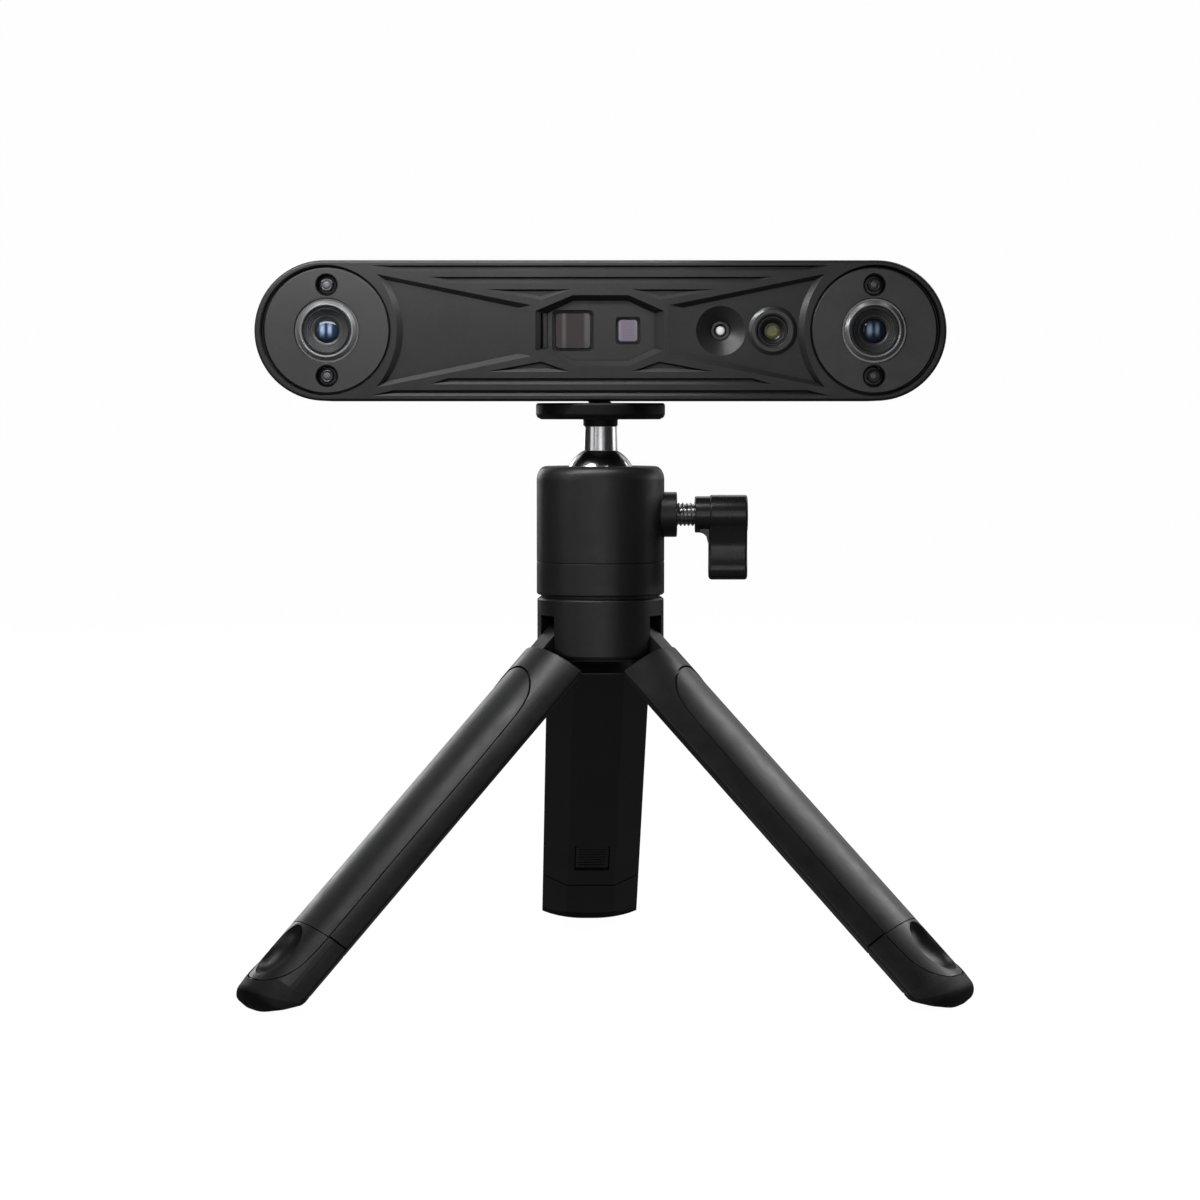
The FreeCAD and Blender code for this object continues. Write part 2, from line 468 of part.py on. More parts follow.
def sector(r, w0, w1, flat=LEG_FLAT, side=LEG_SIDE):
    # 120 degree slice of a round bar with a flat on the inside
    g = side / C60 / T60 * T60
    def side_v(u):
        return u * T60 - g
    vi = side_v(flat)
    # outer corner: intersection of the side plane with the arc
    uo = 0.5 * r
    for _ in range(60):
        uo -= (uo * uo + side_v(uo) ** 2 - r * r) / (2 * uo + 2 * T60 * side_v(uo))
    vo = side_v(uo)
    e = [Part.LineSegment(Vec(flat, vi, -w0), Vec(uo, vo, -w0)).toShape(),
         Part.Arc(Vec(uo, vo, -w0), Vec(r, 0, -w0), Vec(uo, -vo, -w0)).toShape(),
         Part.LineSegment(Vec(uo, -vo, -w0), Vec(flat, -vi, -w0)).toShape(),
         Part.LineSegment(Vec(flat, -vi, -w0), Vec(flat, vi, -w0)).toShape()]
    return Part.Face(Part.Wire(e)).extrude(Vec(0, 0, -(w1 - w0)))


def outline(w0, w1, grow=0.0):
    # rounded inlay outline, seen from outside, run along u
    top = [(-9.9, 24.0), (-8.9, 18.6), (-5.6, 14.6), (0.0, 13.1), (5.6, 14.6), (8.9, 18.6), (9.9, 24.0)]
    g = grow
    pts = [(v + g * (1 if v > 0 else -1 if v < 0 else 0), w - g) for v, w in top]
    pts += [(10.15 + g, 40.0), (10.15 + g, 104.0), (9.6 + g, 110.6), (7.8 + g, 115.0 + g), (4.4, 117.7 + g), (0.0, 118.5 + g)]
    pts += [(-4.4, 117.7 + g), (-7.8 - g, 115.0 + g), (-9.6 - g, 110.6), (-10.15 - g, 104.0), (-10.15 - g, 40.0)]
    body = Part.Face(Part.makePolygon([Vec(9.0, v, -w) for v, w in pts + pts[:1]])).extrude(Vec(10, 0, 0))
    return body.common(box(0, 40, -20, 20, -w1, -w0))


AX = Vec(0, 0, 1)
ring = lambda r: Part.makeCylinder(r, 160, Vec(0, 0, -150), AX)
sec = sector(LEG_R, LEG_W0, LEG_W1)
ed = [e for e in sec.Edges if abs(e.Vertexes[0].Z - e.Vertexes[-1].Z) > 50 and abs(e.Vertexes[0].X) > 6]
sec = sec.makeFillet(0.6, ed)
tongue = box(SLOT_IN + 0.35, PIV_R + TONGUE_R, -TONGUE_W / 2, TONGUE_W / 2, -(LEG_W0 + 1), 0)
tongue = tongue.fuse(Part.makeCylinder(TONGUE_R, TONGUE_W, Vec(PIV_R, -TONGUE_W / 2, 0), Vec(0, 1, 0)))
# stop heel kept clear of the inner wall of the slot
tongue = tongue.cut(box(0, PIV_R - TONGUE_R, -5, 5, -5, 6))
leg = sec.fuse(tongue)
leg = leg.cut(Part.makeCylinder(PIN_R + 0.05, 20, Vec(PIV_R, -10, 0), Vec(0, 1, 0)))
pocket = outline(INLAY_W0 - 1, LEG_W1 + 1).cut(ring(LEG_R - 1.3))
leg = leg.cut(pocket)
leg = leg.cut(box(CH_U0, CH_U1, -CH_V, CH_V, -(LEG_W1 + 1), -20))
leg = leg.cut(box(3.5, 5.75, -LATCH_V - 0.2, LATCH_V + 0.2, -(LATCH_W1 + 0.35), -(LATCH_W0 - 0.2)))
LATCH_WC = (LATCH_W0 + LATCH_W1) / 2.0
leg = leg.cut(Part.makeCylinder(2.0, 4, Vec(4, 0, -LATCH_WC), Vec(1, 0, 0)))
leg = leg.removeSplitter()
inlay = outline(INLAY_W0 - 1, LEG_W1, -0.08).cut(ring(LEG_R - 1.28)).common(ring(LEG_R - 0.45))

latch = box(4.1, 5.0, -LATCH_V, LATCH_V, -LATCH_W1, -LATCH_W0)
latch = latch.makeFillet(0.4, [e for e in latch.Edges if all(abs(v.X - 4.1) < 1e-6 for v in e.Vertexes)])
latch = fuse(latch, Part.makeCylinder(1.7, 2.2, Vec(4.9, 0, -LATCH_WC), Vec(1, 0, 0)))

# foot with its extension bar: the sole is crowned sideways, its outer end is
# turned about the axis of the folded tripod
FOOT_UW = [(LEG_FLAT - 1.0, 99.85), (17.0, 99.85), (17.0, 123.838), (10.2, 123.287), (8.2, 121.221), (6.6, 119.08), (5.2, 116.98), (LEG_FLAT - 1.0, 113.28)]
FOOT_RW = [(0, 99.5), (LEG_R + 0.3, 99.5), (LEG_R + 0.3, 116.2), (LEG_R, 117.28), (15.6, 120.7), (14.9, 121.9), (13.8, 122.65), (12.4, 123.34), (11.2, 123.92), (0, 125.5)]
CROWN_R = 21.15
CROWN_V = [-14.5, -13.0, -11.5, -10.0, -8.5, -7.0, -5.5, -4.0, -2.0, 2.0, 4.0, 5.5, 7.0, 8.5, 10.0, 11.5, 13.0, 14.5]


def crown(v):
    a = max(0.0, abs(v) - 1.0)
    return CROWN_R - math.sqrt(CROWN_R ** 2 - a * a) if abs(v) > 2.01 else 0.0


def foot_block(dw):
    prof = [(u, w - dw if w > 105 else w) for u, w in FOOT_UW]
    slabs = []
    for v0, v1 in zip(CROWN_V[:-1], CROWN_V[1:]):
        wires = []
        for v in (v0, v1):
            q = [Vec(u, v, -(w - crown(v) if w > 105 else w)) for u, w in prof]
            wires.append(Part.makePolygon(q + q[:1]))
        slabs.append(Part.makeLoft(wires, True, True))
    a = slabs[0].multiFuse(slabs[1:]).removeSplitter()
    q = [Vec(r, 0, -(w - dw if w > 105 else w)) for r, w in FOOT_RW]
    b = Part.Face(Part.makePolygon(q + q[:1])).revolve(Vec(0, 0, 0), Vec(0, 0, 1), 360)
    return a.common(b)


fsec = sector(LEG_R, 99.0, 126.0)
ed = [e for e in fsec.Edges if abs(e.Vertexes[0].Z - e.Vertexes[-1].Z) > 20 and abs(e.Vertexes[0].X) > 6]
fsec = fsec.makeFillet(0.6, ed)
whole = fsec.common(foot_block(0.0))
upper = fsec.common(foot_block(SOLE_T))
sole = whole.cut(upper)
foot = upper.cut(outline(98.0, 125.0).cut(ring(LEG_R - 0.45)))
sole = sole.cut(outline(98.0, 125.0).cut(ring(LEG_R - 0.45)))
ell = Part.makeSphere(1.0)
m = FreeCAD.Matrix()
m.scale(4.4, 5.9, 7.9)
ell = ell.transformGeometry(m)
ell.translate(Vec(LEG_R + 0.25, 0, -108.4))
foot = foot.cut(ell)
bar = box(CH_U0 + BAR_GAP, CH_U1 - BAR_GAP, -CH_V + BAR_GAP, CH_V - BAR_GAP, -101.0, -BAR_TOP)
bar = bar.cut(box(CH_U0, CH_U0 + 2.2, -2.2, 2.2, -99.0, -BAR_TOP - 2.0))
foot = fuse(foot, bar)

for nm, az in LEG_AZ.items():
    keep(nm + "_leg", place(leg, az, LEG_OPEN))
    keep(nm + "_leg_inlay", place(inlay, az, LEG_OPEN))
    keep(nm + "_foot", place(foot, az, LEG_OPEN))
    keep(nm + "_foot_sole", place(sole, az, LEG_OPEN))
    keep(nm + "_leg_latch", place(latch, az, LEG_OPEN))

# ---------------------------------------------------------------- write out
os.makedirs("parts", exist_ok=True)
allbox = FreeCAD.BoundBox()
for name, shape in OUT.items():
    shape.translate(Vec(OFF_X, OFF_Y, OFF_Z))
    n = len(shape.Solids)
    ok = shape.isValid()
    bb = shape.optimalBoundingBox(False) if hasattr(shape, "optimalBoundingBox") else shape.BoundBox
    allbox.add(bb)
    print("%-20s solids %2d valid %s vol %9.1f z %.2f..%.2f" % (name, n, ok, shape.Volume, bb.ZMin, bb.ZMax))
    shape.exportStep("parts/" + name + ".step")
print("pieces", len(OUT), "box", [round(v, 3) for v in (allbox.XMin, allbox.XMax, allbox.YMin, allbox.YMax, allbox.ZMin, allbox.ZMax)])
print("middle", round((allbox.XMin + allbox.XMax) / 2, 3), round((allbox.YMin + allbox.YMax) / 2, 3))
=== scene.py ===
import bpy
import bmesh
import math
from mathutils import Vector, Matrix


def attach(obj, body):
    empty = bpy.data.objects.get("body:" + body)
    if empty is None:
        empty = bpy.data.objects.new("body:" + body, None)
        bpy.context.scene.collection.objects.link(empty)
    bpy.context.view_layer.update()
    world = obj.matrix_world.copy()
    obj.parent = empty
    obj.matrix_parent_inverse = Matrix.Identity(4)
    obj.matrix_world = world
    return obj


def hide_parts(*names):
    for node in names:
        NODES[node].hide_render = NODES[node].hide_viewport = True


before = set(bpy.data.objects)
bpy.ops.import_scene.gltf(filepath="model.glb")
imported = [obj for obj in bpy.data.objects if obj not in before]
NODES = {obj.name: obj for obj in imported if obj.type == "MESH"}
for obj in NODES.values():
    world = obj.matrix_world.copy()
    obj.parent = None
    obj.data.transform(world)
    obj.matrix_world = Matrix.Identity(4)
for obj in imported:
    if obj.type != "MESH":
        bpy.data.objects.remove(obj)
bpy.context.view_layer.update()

# Shapes are worked out in millimetres about the tripod's vertical axis, and
# moved into the frame, in metres, when a piece is finished.
OFF = Vector((-1.42, -19.978, -0.5445))
SC_Z = 165.18
YF, YB, Y_SPLIT = -15.75, 15.75, -9.0
SC_W, SC_H = 173.2, 35.1
EYE_X, LED_Z = 68.5, 11.4


# ------------------------------------------------------------------ meshes
def mesh_object(verts, faces):
    me = bpy.data.meshes.new("tmp")
    me.from_pydata([tuple(v) for v in verts], [], faces)
    me.validate()
    bm = bmesh.new()
    bm.from_mesh(me)
    bmesh.ops.remove_doubles(bm, verts=bm.verts, dist=1e-5)
    bmesh.ops.recalc_face_normals(bm, faces=bm.faces)
    bm.to_mesh(me)
    bm.free()
    ob = bpy.data.objects.new("tmp", me)
    bpy.context.scene.collection.objects.link(ob)
    return ob


def drop(*obs):
    for o in obs:
        bpy.data.objects.remove(o, do_unlink=True)


def bake(ob):
    dg = bpy.context.evaluated_depsgraph_get()
    dg.update()
    me = bpy.data.meshes.new_from_object(ob.evaluated_get(dg))
    ob.modifiers.clear()
    ob.data = me
    return ob


def boo(a, b, op="DIFFERENCE"):
    m = a.modifiers.new("b", "BOOLEAN")
    m.object, m.operation, m.solver = b, op, "EXACT"
    bake(a)
    drop(b)
    bm = bmesh.new()
    bm.from_mesh(a.data)
    bmesh.ops.remove_doubles(bm, verts=bm.verts, dist=2e-4)
    bmesh.ops.dissolve_degenerate(bm, edges=bm.edges, dist=2e-4)
    bm.to_mesh(a.data)
    bm.free()
    return a


def join(*obs):
    # one mesh of several that don't touch
    bm = bmesh.new()
    for o in obs:
        bm.from_mesh(o.data)
    me = bpy.data.meshes.new("tmp")
    bm.to_mesh(me)
    bm.free()
    drop(*obs)
    ob = bpy.data.objects.new("tmp", me)
    bpy.context.scene.collection.objects.link(ob)
    return ob


def move(ob, m):
    ob.data.transform(m)
    ob.data.update()
    return ob


def shift(ob, x=0.0, y=0.0, z=0.0):
    return move(ob, Matrix.Translation((x, y, z)))


def copy(ob, m=None):
    o = bpy.data.objects.new("tmp", ob.data.copy())
    bpy.context.scene.collection.objects.link(o)
    return move(o, m) if m is not None else o


def rp(pts, n=4):
    # rounds the corners of a closed outline; a point is (a, b) or (a, b, radius)
    out, k = [], len(pts)
    for i, p in enumerate(pts):
        r = p[2] if len(p) > 2 else 0.0
        c = Vector(p[:2])
        if r <= 0:
            out.append(tuple(c))
            continue
        d0, d1 = Vector(pts[i - 1][:2]) - c, Vector(pts[(i + 1) % k][:2]) - c
        l0, l1 = d0.length, d1.length
        d0.normalize()
        d1.normalize()
        ang = d0.angle(d1)
        t = r / math.tan(ang / 2)
        lim = 0.48 * min(l0, l1)
        if t > lim:
            t, r = lim, lim * math.tan(ang / 2)
        mid = c + (d0 + d1).normalized() * (r / math.sin(ang / 2))
        a, b = c + d0 * t - mid, c + d1 * t - mid
        full = a.angle(b)
        for j in range(n + 1):
            s = j / n
            q = (a * math.sin((1 - s) * full) + b * math.sin(s * full)) / math.sin(full)
            out.append(tuple(mid + q))
    return out


def lathe(pts, seg=96, axis="z", at=(0.0, 0.0, 0.0)):
    # turns a closed (radius, height) outline about an axis
    place = {"z": lambda r, h, c, s: (r * c, r * s, h),
             "y": lambda r, h, c, s: (r * c, h, r * s),
             "x": lambda r, h, c, s: (h, r * c, r * s)}[axis]
    verts, rows = [], []
    for r, h in pts:
        if abs(r) < 1e-7:
            rows.append([len(verts)])
            verts.append(Vector(place(0, h, 1, 0)) + Vector(at))
        else:
            rows.append(list(range(len(verts), len(verts) + seg)))
            for j in range(seg):
                a = 2 * math.pi * j / seg
                verts.append(Vector(place(r, h, math.cos(a), math.sin(a))) + Vector(at))
    faces = []
    for i in range(len(rows)):
        a, b = rows[i], rows[(i + 1) % len(rows)]
        if len(a) == 1 and len(b) == 1:
            continue
        for j in range(seg):
            k = (j + 1) % seg
            if len(a) == 1:
                faces.append((a[0], b[k], b[j]))
            elif len(b) == 1:
                faces.append((a[j], a[k], b[0]))
            else:
                faces.append((a[j], a[k], b[k], b[j]))
    return mesh_object(verts, faces)


def loft(rings):
    # rings of the same count, capped at both ends
    n, verts, faces = len(rings[0]), [], []
    for r in rings:
        verts += [Vector(p) for p in r]
    for i in range(len(rings) - 1):
        for j in range(n):
            k = (j + 1) % n
            faces.append((i * n + j, i * n + k, (i + 1) * n + k, (i + 1) * n + j))
    faces.append(tuple(range(n)))
    faces.append(tuple(range((len(rings) - 1) * n, len(rings) * n)))
    return mesh_object(verts, faces)


def loft_y(*rings):
    # ((outline in x and z), y) pairs
    return loft([[(x, y, z) for x, z in pts] for pts, y in rings])


def tube(r, y0, y1, x=0.0, z=0.0, seg=72, r1=None):
    r1 = r if r1 is None else r1
    return lathe([(0, y0), (r, y0), (r1, y1), (0, y1)], seg, "y", (x, 0, z))


def tube_z(r, z0, z1, x=0.0, y=0.0, seg=72, r1=None):
    r1 = r if r1 is None else r1
    return lathe([(0, z0), (r, z0), (r1, z1), (0, z1)], seg, "z", (x, y, 0))


def tube_x(r, x0, x1, y=0.0, z=0.0, seg=72, r1=None):
    r1 = r if r1 is None else r1
    return lathe([(0, x0), (r, x0), (r1, x1), (0, x1)], seg, "x", (0, y, z))


def ball_at(r, c, seg=72, rows=36, scale=(1, 1, 1)):
    pts = [(0.0, -r)] + [(r * math.sin(math.pi * i / rows), -r * math.cos(math.pi * i / rows)) for i in range(1, rows)] + [(0.0, r)]
    ob = lathe(pts, seg, "z")
    return move(ob, Matrix.Translation(c) @ Matrix.Diagonal((*scale, 1)))


def block(x0, x1, y0, y1, z0, z1):
    return loft([[(x0, y0, z), (x1, y0, z), (x1, y1, z), (x0, y1, z)] for z in (z0, z1)])


def stadium(w, h, inset=0.0, cx=0.0, cz=0.0, n=40):
    r, a = h / 2.0 - inset, w / 2.0 - h / 2.0
    right = [(cx + a + r * math.cos(t), cz + r * math.sin(t)) for t in [math.pi * (i / n - 0.5) for i in range(n + 1)]]
    left = [(cx - a + r * math.cos(t), cz + r * math.sin(t)) for t in [math.pi * (i / n + 0.5) for i in range(n + 1)]]
    return right + left


def inward(pts, d):
    # a convex outline moved inward by d
    area = sum(pts[i - 1][0] * p[1] - p[0] * pts[i - 1][1] for i, p in enumerate(pts))
    sg = 1.0 if area > 0 else -1.0
    out, k = [], len(pts)
    for i in range(k):
        p0, p, p1 = Vector(pts[i - 1]), Vector(pts[i]), Vector(pts[(i + 1) % k])
        e0, e1 = (p - p0).normalized(), (p1 - p).normalized()
        n0, n1 = Vector((-e0.y, e0.x)) * sg, Vector((-e1.y, e1.x)) * sg
        b = n0 + n1
        out.append(tuple(p + b * (d / max(0.15, b.dot(n0)))))
    return out


def rrect(x0, x1, z0, z1, r, n=6):
    return rp([(x0, z0, r), (x1, z0, r), (x1, z1, r), (x0, z1, r)], n)


# ------------------------------------------------------------------ finishing
def finish(ob, name, body, material, nodes=(), sharp=32.0, bevel=0.0, seg=2, limit=30.0, local=False):
    """Bevels in mm, moves the piece into the frame in metres, shades and rides it."""
    if local:
        shift(ob, z=SC_Z)
    if bevel > 0:
        m = ob.modifiers.new("edge", "BEVEL")
        m.width, m.segments, m.limit_method = bevel, seg, "ANGLE"
        m.angle_limit, m.use_clamp_overlap = math.radians(limit), True
        bake(ob)
    move(ob, Matrix.Scale(0.001, 4) @ Matrix.Translation(OFF))
    me = ob.data
    me.name = ob.name = name
    me.polygons.foreach_set("use_smooth", [True] * len(me.polygons))
    me.set_sharp_from_angle(angle=math.radians(sharp))
    me.materials.clear()
    me.materials.append(material)
    w = ob.modifiers.new("normals", "WEIGHTED_NORMAL")
    w.keep_sharp, w.weight, w.mode = True, 80, "FACE_AREA"
    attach(ob, body)
    if nodes:
        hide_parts(*nodes)
    return ob


# ------------------------------------------------------------------ materials
def surface(name, base, rough, metal=0.0, spec=0.5, coat=0.0, coat_rough=0.1, ior=1.5,
            tone=0.10, tone_mm=9.0, rough_var=0.06, grain_mm=0.30, grain_um=6.0, pit=0.0,
            brushed=None, second=None, transmission=0.0, sheen=0.0):
    """Moulded or machined finish: slow tone changes, a fine grain in the bump,
    uneven gloss, optional pits or turning marks, and faint scuffs."""
    m = bpy.data.materials.new(name)
    m.use_nodes = True
    nt = m.node_tree
    N, L = nt.nodes, nt.links
    b = N["Principled BSDF"]
    b.inputs["Metallic"].default_value = metal
    b.inputs["Specular IOR Level"].default_value = spec
    b.inputs["IOR"].default_value = ior
    b.inputs["Coat Weight"].default_value = coat
    b.inputs["Coat Roughness"].default_value = coat_rough
    b.inputs["Transmission Weight"].default_value = transmission
    b.inputs["Sheen Weight"].default_value = sheen
    co = N.new("ShaderNodeTexCoord")

    def noise(size_mm, detail, rough_=0.5, stretch=None):
        t = N.new("ShaderNodeTexNoise")
        t.inputs["Scale"].default_value = 1000.0 / size_mm
        t.inputs["Detail"].default_value = detail
        t.inputs["Roughness"].default_value = rough_
        if stretch:
            mp = N.new("ShaderNodeMapping")
            mp.inputs["Scale"].default_value = stretch
            L.new(co.outputs["Object"], mp.inputs["Vector"])
            L.new(mp.outputs["Vector"], t.inputs["Vector"])
        else:
            L.new(co.outputs["Object"], t.inputs["Vector"])
        return t

    def ramp(src, lo, hi, a=0.3, z=0.7):
        r = N.new("ShaderNodeMapRange")
        r.inputs["From Min"].default_value, r.inputs["From Max"].default_value = a, z
        r.inputs["To Min"].default_value, r.inputs["To Max"].default_value = lo, hi
        L.new(src, r.inputs["Value"])
        return r.outputs["Result"]

    # colour: base tone drifting between a darker and a lighter shade
    slow = noise(tone_mm, 3.0)
    mix = N.new("ShaderNodeMix")
    mix.data_type = "RGBA"
    base = tuple(base)
    mix.inputs["A"].default_value = (*[c * (1 - tone) for c in base], 1)
    mix.inputs["B"].default_value = (*[min(1, c * (1 + tone)) for c in (second or base)], 1)
    L.new(ramp(slow.outputs["Fac"], 0, 1), mix.inputs["Factor"])
    fleck = noise(grain_mm * 2.2, 2.0)
    mix2 = N.new("ShaderNodeMix")
    mix2.data_type, mix2.blend_type = "RGBA", "MULTIPLY"
    mix2.inputs["Factor"].default_value = 1.0
    L.new(mix.outputs["Result"], mix2.inputs["A"])
    g = ramp(fleck.outputs["Fac"], 1 - tone * 0.7, 1 + tone * 0.7)
    comb = N.new("ShaderNodeCombineColor")
    for k in range(3):
        L.new(g, comb.inputs[k])
    L.new(comb.outputs["Color"], mix2.inputs["B"])
    L.new(mix2.outputs["Result"], b.inputs["Base Color"])

    # gloss: smudges and faint scuffs
    smudge = noise(tone_mm * 0.6, 5.0, 0.62)
    scuff = noise(0.5, 2.0, 0.6, (0.06, 1.0, 0.5))
    add = N.new("ShaderNodeMath")
    add.operation = "ADD"
    L.new(ramp(smudge.outputs["Fac"], rough - rough_var, rough + rough_var), add.inputs[0])
    L.new(ramp(scuff.outputs["Fac"], 0.0, rough_var * 0.6, 0.55, 0.8), add.inputs[1])
    L.new(add.outputs["Value"], b.inputs["Roughness"])

    # relief
    last = None

    def bump(height, um, strength=1.0):
        nonlocal last
        q = N.new("ShaderNodeBump")
        q.inputs["Strength"].default_value = strength
        q.inputs["Distance"].default_value = um * 1e-6
        L.new(height, q.inputs["Height"])
        if last is not None:
            L.new(last, q.inputs["Normal"])
        last = q.outputs["Normal"]

    if grain_um > 0:
        fine = noise(grain_mm, 2.5, 0.55)
        bump(fine.outputs["Fac"], grain_um)
    if pit > 0:
        v = N.new("ShaderNodeTexVoronoi")
        v.inputs["Scale"].default_value = 1000.0 / (grain_mm * 2.0)
        L.new(co.outputs["Object"], v.inputs["Vector"])
        bump(v.outputs["Distance"], pit)
    if brushed:
        st, um = brushed
        t = noise(0.35, 3.0, 0.6, st)
        bump(t.outputs["Fac"], um)
    if last is not None:
        L.new(last, b.inputs["Normal"])
        if coat > 0:
            L.new(last, b.inputs["Coat Normal"])
    return m


G = lambda v: (v, v, v)
def paint_recess_shade(m, dist_mm, low):
    # painted shade in corners and grooves: the colour darkens where nearby walls close in
    nt = m.node_tree
    N, L = nt.nodes, nt.links
    b = N["Principled BSDF"]
    old = b.inputs["Base Color"].links[0].from_socket
    ao = N.new("ShaderNodeAmbientOcclusion")
    ao.samples = 8
    ao.inputs["Distance"].default_value = dist_mm * 0.001
    r = N.new("ShaderNodeMapRange")
    r.inputs["From Min"].default_value, r.inputs["From Max"].default_value = 0.58, 0.96
    r.inputs["To Min"].default_value, r.inputs["To Max"].default_value = 1.0 - low, 0.0
    L.new(ao.outputs["AO"], r.inputs["Value"])
    # painted shade on undersides: faces looking sideways or down take all of the darkening, faces looking up only a
    # quarter of it
    tc = N.new("ShaderNodeTexCoord")
    sp = N.new("ShaderNodeSeparateXYZ")
    L.new(tc.outputs["Normal"], sp.inputs[0])
    up = N.new("ShaderNodeMapRange")
    up.inputs["From Min"].default_value, up.inputs["From Max"].default_value = 0.02, 0.4
    up.inputs["To Min"].default_value, up.inputs["To Max"].default_value = 1.0, 0.25
    L.new(sp.outputs["Z"], up.inputs["Value"])
    ml = N.new("ShaderNodeMath")
    ml.operation = "MULTIPLY"
    L.new(r.outputs["Result"], ml.inputs[0])
    L.new(up.outputs["Result"], ml.inputs[1])
    iv = N.new("ShaderNodeMath")
    iv.operation = "SUBTRACT"
    iv.inputs[0].default_value = 1.0
    L.new(ml.outputs[0], iv.inputs[1])
    cc = N.new("ShaderNodeCombineColor")
    for k in range(3):
        L.new(iv.outputs[0], cc.inputs[k])
    mx = N.new("ShaderNodeMix")
    mx.data_type, mx.blend_type = "RGBA", "MULTIPLY"
    mx.inputs["Factor"].default_value = 1.0
    L.new(old, mx.inputs["A"])
    L.new(cc.outputs["Color"], mx.inputs["B"])
    L.new(mx.outputs["Result"], b.inputs["Base Color"])


M = {
    "shell_black": surface("shell_black", (0.0235, 0.0235, 0.0245), 0.36, spec=0.36, grain_mm=0.34, grain_um=5.0, tone=0.09, tone_mm=14, pit=2.0),
    "disc_black": surface("disc_black", (0.037, 0.037, 0.038), 0.32, grain_mm=0.5, grain_um=2.0, tone=0.07, tone_mm=10),
    "bezel_black": surface("bezel_black", (0.27, 0.27, 0.275), 0.30, metal=0.6, grain_mm=0.4, grain_um=1.5, coat=0.3, coat_rough=0.15, tone=0.06),
    "flash_ring": surface("flash_ring", (0.022, 0.022, 0.023), 0.38, grain_mm=0.4, grain_um=1.5, coat=0.4, coat_rough=0.08, tone=0.06),
    "barrel_black": surface("barrel_black", (0.040, 0.040, 0.041), 0.36, grain_mm=0.25, grain_um=6.0, tone=0.12, brushed=((0.2, 6.0, 0.2), 6.0)),
    "panel_black": surface("panel_black", (0.019, 0.019, 0.020), 0.36, grain_mm=0.45, grain_um=3.0, tone=0.06),
    "module_grey": surface("module_grey", (0.03, 0.03, 0.034), 0.5, grain_mm=0.3, grain_um=5.0),
    "led_yellow": surface("led_yellow", (0.13, 0.145, 0.045), 0.35, tone=0.25, tone_mm=0.8, grain_mm=0.16, grain_um=8.0, coat=0.3, second=(0.24, 0.24, 0.085)),
    "bench_alloy": surface("bench_alloy", (0.55, 0.56, 0.58), 0.38, metal=1.0, brushed=((0.05, 1.0, 1.0), 5.0), grain_um=2.0),
    "steel": surface("steel", (0.52, 0.52, 0.53), 0.30, metal=1.0, brushed=((1.0, 1.0, 6.0), 4.0), grain_um=1.5),
    "screw_black": surface("screw_black", (0.05, 0.05, 0.055), 0.33, metal=0.6, grain_mm=0.25, grain_um=4.0, tone=0.15),
    "board_green": surface("board_green", (0.01, 0.09, 0.035), 0.42, tone=0.25, tone_mm=3.0, grain_mm=0.6, grain_um=8.0, coat=0.3),
    "silicone": surface("silicone", (0.35, 0.35, 0.34), 0.62, grain_mm=0.3, grain_um=6.0, sheen=0.1),
    "brass": surface("brass", (0.72, 0.50, 0.20), 0.28, metal=1.0, brushed=((1.0, 1.0, 5.0), 4.0), second=(0.60, 0.40, 0.15)),
    "button_grey": surface("button_grey", (0.085, 0.086, 0.09), 0.46, grain_mm=0.26, grain_um=7.0, tone=0.10, tone_mm=4),
    "chrome": surface("chrome", (0.80, 0.80, 0.81), 0.22, metal=1.0, rough_var=0.03, grain_mm=0.6, grain_um=0.5, tone=0.02, brushed=((0.4, 0.4, 7.0), 0.8)),
    "thread_steel": surface("thread_steel", (0.50, 0.50, 0.51), 0.28, metal=1.0, rough_var=0.08, grain_um=2.0, tone=0.12),
    "head_black": surface("head_black", (0.017, 0.017, 0.018), 0.40, grain_mm=0.28, grain_um=7.0, tone=0.10, tone_mm=7, pit=3.0),
    "pad_rubber": surface("pad_rubber", (0.018, 0.018, 0.018), 0.75, grain_mm=0.5, grain_um=22.0, pit=10.0, tone=0.2, tone_mm=3, sheen=0.15),
    "nylon": surface("nylon", (0.55, 0.54, 0.50), 0.5, grain_mm=0.4, grain_um=5.0, tone=0.06),
    "knob_black": surface("knob_black", (0.017, 0.017, 0.018), 0.27, grain_mm=0.25, grain_um=1.5, tone=0.04, tone_mm=12, rough_var=0.015),
    # darker than the head's finish: painted shade where the plate sits under the scanner
    "plate_black_painted_shade": surface("plate_black_painted_shade", (0.007, 0.007, 0.008), 0.48, grain_mm=0.28, grain_um=5.0, tone=0.10, tone_mm=7, spec=0.25),
    "hub_black": surface("hub_black", (0.016, 0.016, 0.017), 0.40, grain_mm=0.30, grain_um=8.0, pit=3.0, tone=0.10, tone_mm=6),
    "leg_black": surface("leg_black", (0.017, 0.017, 0.018), 0.36, grain_mm=0.36, grain_um=13.0, pit=6.0, tone=0.11, tone_mm=11),
    "inlay_black": surface("inlay_black", (0.018, 0.018, 0.0185), 0.38, grain_mm=0.40, grain_um=15.0, pit=7.0, tone=0.10, tone_mm=9, sheen=0.05),
    "latch_black": surface("latch_black", (0.019, 0.019, 0.020), 0.36, grain_mm=0.25, grain_um=5.0, tone=0.12),
    "sole_rubber": surface("sole_rubber", (0.018, 0.018, 0.018), 0.55, grain_mm=0.36, grain_um=8.0, tone=0.08, spec=0.3),
}
# painted shade in the grooves, recesses and corners of these finishes
for n, dist, low in (("shell_black", 2.4, 0.0), ("disc_black", 2.4, 0.0), ("panel_black", 1.2, 0.0), ("hub_black", 2.5, 0.0), ("leg_black", 3.0, 0.0)):
    paint_recess_shade(M[n], dist, low)


